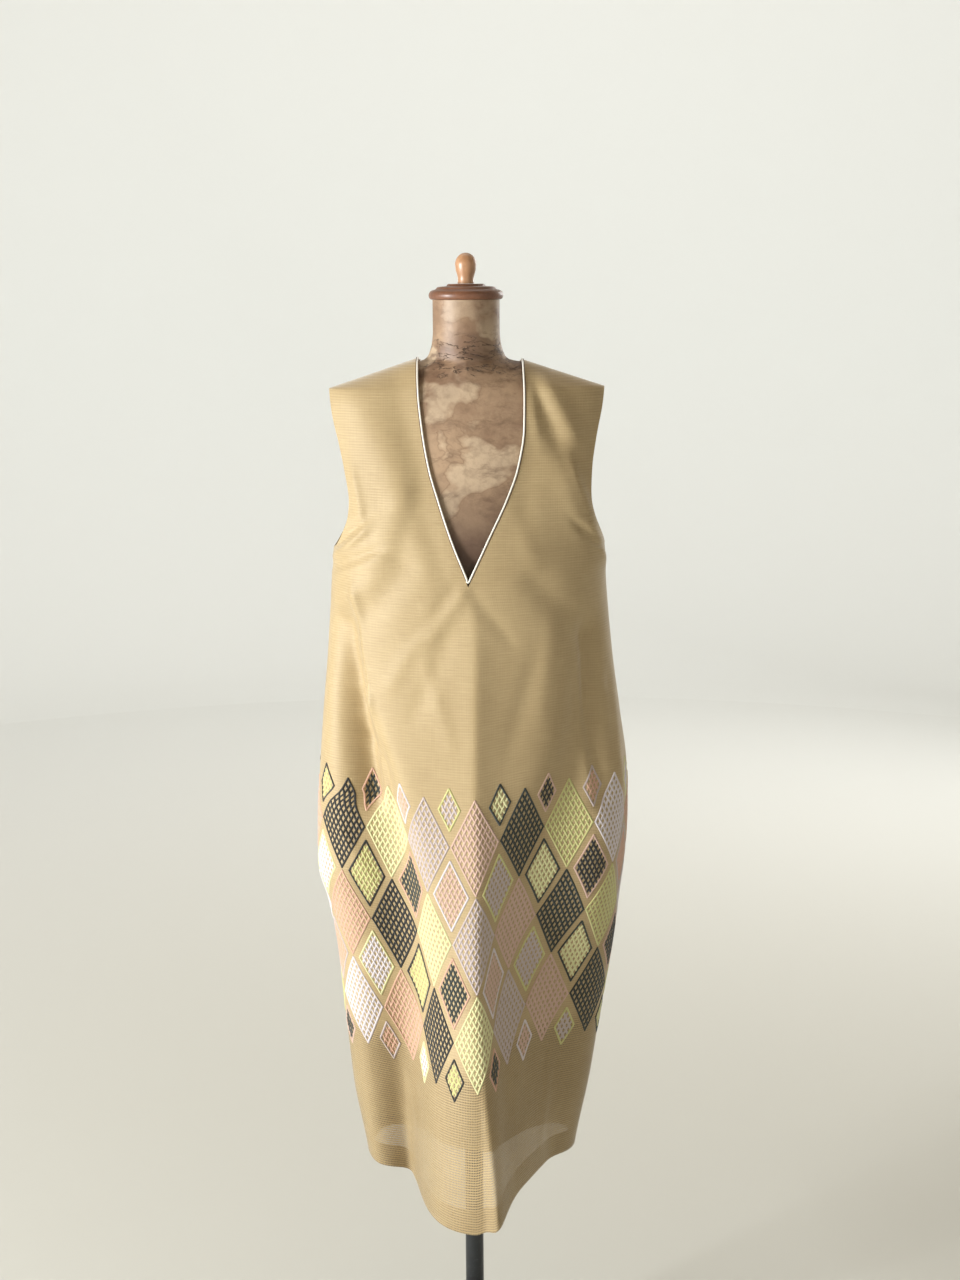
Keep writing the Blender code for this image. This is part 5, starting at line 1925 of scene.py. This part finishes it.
# Rings of the knob's foot in shares of its radius and height, and how its round top starts
KNOB_RINGS = ((0.80, 0.0), (0.74, 0.08), (0.75, 0.20), (0.83, 0.31), (0.93, 0.42))
KNOB_TOP_SHARE = 0.38
KNOB_STEPS = 12

# Rings of the base, the collar and the socket: how far off its radius, and height over its foot
# or, for the socket, under its top. The base's step is how far it reaches past the collar
BASE_RINGS = ((-0.004, 0.0), (0.0, 0.003), (0.0, 0.013), (-0.002, 0.0175), (-0.006, 0.020))
BASE_STEP = 0.012
COLLAR_RINGS = ((0.0, 0.0), (0.0, 0.006), (-0.006, 0.014), (-0.007, 0.035), (-0.009, 0.038))
SOCKET_RINGS = ((-0.010, -0.026), (-0.008, -0.010), (0.0, -0.006), (0.0, 0.0))

# Rounded edges of the turned pieces
FINE_BEVEL = 0.0003
CAP_BEVEL = 0.0004
COLLAR_BEVEL = 0.0006
POLE_BEVEL = 0.0008
BASE_BEVEL = 0.001

# Points round a small turned piece
FEWER_SIDES = 64


@dataclass(frozen=True)
class StandSize:
    """Sizes of the cap, knob, pole and base."""

    form_top: float = 1.6997
    form_low: float = 0.97
    fit: float = 0.0003
    pole: float = 0.0143
    base: float = 0.170
    base_height: float = BASE_RINGS[-1][1]
    collar: float = 0.030
    socket: float = 0.032
    knob: float = 0.0152
    knob_top: float = 1.765


class Stand:
    """Cap and knob on the neck, and the pole with its socket, collar and round base."""

    def __init__(self, size: StandSize, paint: Paint) -> None:
        """Keeps the sizes and makes the materials."""
        self.size = size
        self.cap_wood = paint.plain(CAP_WOOD)
        self.knob_wood = paint.plain(KNOB_WOOD)
        self.steel = paint.plain(POLE_STEEL)
        self.iron = paint.plain(STAND_IRON)

    def cap(self) -> bpy.types.Object:
        """Turned cap with two steps."""
        low = self.size.form_top + self.size.fit
        return turned("cap", [(radius, low + height) for radius, height in CAP_RINGS], CAP_BEVEL)

    def knob(self) -> bpy.types.Object:
        """Turned knob with a narrow foot and a round top."""
        s = self.size
        low = s.form_top + 2.0 * s.fit + CAP_RINGS[-1][1]
        height = s.knob_top - low
        profile = [(s.knob * wide, low + height * high) for wide, high in KNOB_RINGS]
        for i in range(KNOB_STEPS):
            angle = math.pi / 2.0 * (KNOB_STEPS - i) / KNOB_STEPS
            down = KNOB_TOP_SHARE * height * (1.0 - math.cos(angle))
            profile.append((s.knob * math.sin(angle), s.knob_top - down))
        return turned("turned_knob", profile, FINE_BEVEL, FEWER_SIDES)

    def pole(self) -> bpy.types.Object:
        """Plain round pole."""
        s = self.size
        profile = [(s.pole, s.base_height + s.fit), (s.pole, s.form_low - s.fit)]
        return turned("stand_pole", profile, POLE_BEVEL, FEWER_SIDES)

    def base(self) -> bpy.types.Object:
        """Heavy round base with a shallow step."""
        s = self.size
        profile = [(s.base + out, height) for out, height in BASE_RINGS]
        profile.append((s.collar + BASE_STEP, s.base_height))
        return turned("round_base", profile, BASE_BEVEL)

    def collar(self) -> bpy.types.Object:
        """Collar that holds the pole on the base."""
        s = self.size
        bore, low = s.pole + s.fit, s.base_height + s.fit
        rings = [(s.collar + out, low + height) for out, height in COLLAR_RINGS]
        profile = [(bore, low), *rings, (bore, rings[-1][1]), (bore, low)]
        return turned("collar", profile, COLLAR_BEVEL, FEWER_SIDES)

    def socket(self) -> bpy.types.Object:
        """Flanged socket under the form."""
        s = self.size
        bore, top = s.pole + s.fit, s.form_low - s.fit
        rings = [(s.socket + out, top + height) for out, height in SOCKET_RINGS]
        low = rings[0][1]
        profile = [(bore, low), *rings, (bore, top), (bore, low)]
        return turned("socket", profile, COLLAR_BEVEL, FEWER_SIDES)

    def build(self) -> None:
        """Makes all its pieces."""
        table = (
            (self.cap, "neck_cap", self.cap_wood, "cap_wood"),
            (self.knob, "knob", self.knob_wood, "knob_wood"),
            (self.pole, "pole", self.steel, "pole_steel"),
            (self.base, "base", self.iron, "stand_iron"),
            (self.collar, "base_collar", self.iron, "stand_iron"),
            (self.socket, "pole_socket", self.iron, "stand_iron"),
        )
        for make, node, material, slot in table:
            obj = make()
            put_down(obj, material)
            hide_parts(node)


@dataclass(frozen=True)
class Lamp:
    """One soft light: where it is, what it faces, its size and its power."""

    name: str
    place: tuple[float, float, float]
    aim: tuple[float, float, float]
    size: float
    power: float
    colour: tuple[float, float, float]


LAMPS = (
    Lamp("key", (-3.38, -1.92, 1.35), (0.0, 0.0, 0.95), 1.2, 246.0, (0.965, 0.992, 1.0)),
    Lamp("fill", (1.6, -3.9, 1.9), (0.0, 0.0, 1.0), 2.4, 7.0, (0.97, 0.985, 1.0)),
    Lamp("rear", (2.3, 3.3, 2.3), (0.0, 0.0, 1.0), 1.5, 42.0, (1.0, 0.99, 0.97)),
    Lamp("wall", (0.0, 1.4, 4.6), (0.0, 5.5, 1.6), 2.4, 112.0, (1.0, 1.0, 0.99)),
)


@dataclass(frozen=True)
class Shot:
    """The photograph's camera."""

    place: tuple[float, float, float] = (0.0161, -2.466, 1.72)
    pitch: float = -11.795
    roll: float = -0.0078
    lens: float = 31.875
    sensor: float = 24.0


@dataclass(frozen=True)
class Room:
    """Sizes, paint, painted shade and light of the studio."""

    reach: float = 4.6
    curve: float = 1.4
    top: float = 7.0
    steps: int = 10
    sides: int = 96
    # The floor's paint darkens from far to near the middle, a painted shade round the stand
    near: float = 0.8
    far: float = 5.0
    near_painted_shade: Colour = linear(200, 199, 191)
    far_paint: Colour = linear(228, 230, 228)
    roughness: float = 0.95
    gloss: float = 0.1
    world: Colour = linear(248, 211, 160)
    world_strength: float = 0.27


class Studio:
    """Pale floor, soft light and the camera."""

    def __init__(self, shot: Shot, room: Room) -> None:
        """Keeps the facts of the camera and the room."""
        self.shot = shot
        self.room = room

    def floor(self) -> None:
        """Wide pale floor that turns up into a round wall, its paint darker towards the middle as a
        painted shade round the stand.
        """
        room = self.room
        bpy.ops.mesh.primitive_circle_add(
            vertices=room.sides, radius=room.reach, fill_type="NGON", location=(0, 0, 0)
        )
        floor = bpy.context.object
        floor.name = "floor"
        turns = [math.pi / 2.0 * i / room.steps for i in range(room.steps + 1)]
        rings = [
            (room.reach + room.curve * math.sin(a), room.curve * (1.0 - math.cos(a)))
            for a in turns
        ]
        rings.append((room.reach + room.curve, room.top))
        wall = drawn_out("backdrop", rings, room.sides)
        pick(wall)
        bpy.ops.object.shade_smooth()
        material = bpy.data.materials.new("studio_paint_and_shade")
        material.use_nodes = True
        shader = material.node_tree.nodes["Principled BSDF"]
        tree = Tree(material.node_tree)
        place = tree.add("ShaderNodeTexCoord").outputs["Object"]
        # Painted shade: the paint darkens towards the middle, round the stand
        far = tree.add("ShaderNodeVectorMath", {0: place}, operation="LENGTH").outputs["Value"]
        share = tree.step(far, room.near, room.far)
        tree.set(shader.inputs["Base Color"], tree.mix(share, room.near_painted_shade, room.far_paint))
        shader.inputs["Roughness"].default_value = room.roughness
        shader.inputs["Specular IOR Level"].default_value = room.gloss
        for obj in (floor, wall):
            obj.data.materials.append(material)

    def world(self) -> None:
        """Even pale surroundings."""
        world = bpy.data.worlds.new("studio")
        bpy.context.scene.world = world
        world.use_nodes = True
        ground = world.node_tree.nodes["Background"]
        ground.inputs["Color"].default_value = self.room.world
        ground.inputs["Strength"].default_value = self.room.world_strength

    @staticmethod
    def lamps() -> None:
        """Soft area lights."""
        for lamp in LAMPS:
            light = bpy.data.lights.new(lamp.name, "AREA")
            light.size = lamp.size
            light.energy = lamp.power
            light.color = lamp.colour
            obj = add_object(lamp.name, light)
            obj.location = lamp.place
            aim = Vector(lamp.aim) - Vector(lamp.place)
            obj.rotation_euler = aim.to_track_quat("-Z", "Y").to_euler()
            obj.visible_camera = False

    def camera(self) -> None:
        """Camera at the photograph's viewing angle."""
        data = bpy.data.cameras.new("camera")
        data.sensor_fit = "VERTICAL"
        data.sensor_height = self.shot.sensor
        data.lens = self.shot.lens
        obj = add_object("camera", data)
        turn = Matrix.Rotation(math.radians(90.0 + self.shot.pitch), 4, "X")
        roll = Matrix.Rotation(self.shot.roll, 4, "Z")
        obj.matrix_world = Matrix.Translation(self.shot.place) @ turn @ roll
        bpy.context.scene.camera = obj

    def build(self) -> None:
        """Makes the studio."""
        deselect()
        self.floor()
        self.world()
        self.lamps()
        self.camera()
        bpy.context.scene.view_settings.view_transform = "Standard"


def main() -> None:
    """Dresses the frame."""
    logging.basicConfig(level=logging.INFO)
    deselect()
    drape = Drape()
    paint = Paint()
    Form(drape).build(paint)
    Stand(StandSize(), paint).build()
    Dress(drape, paint).build()
    Studio(Shot(), Room()).build()


if __name__ == "__main__":
    main()
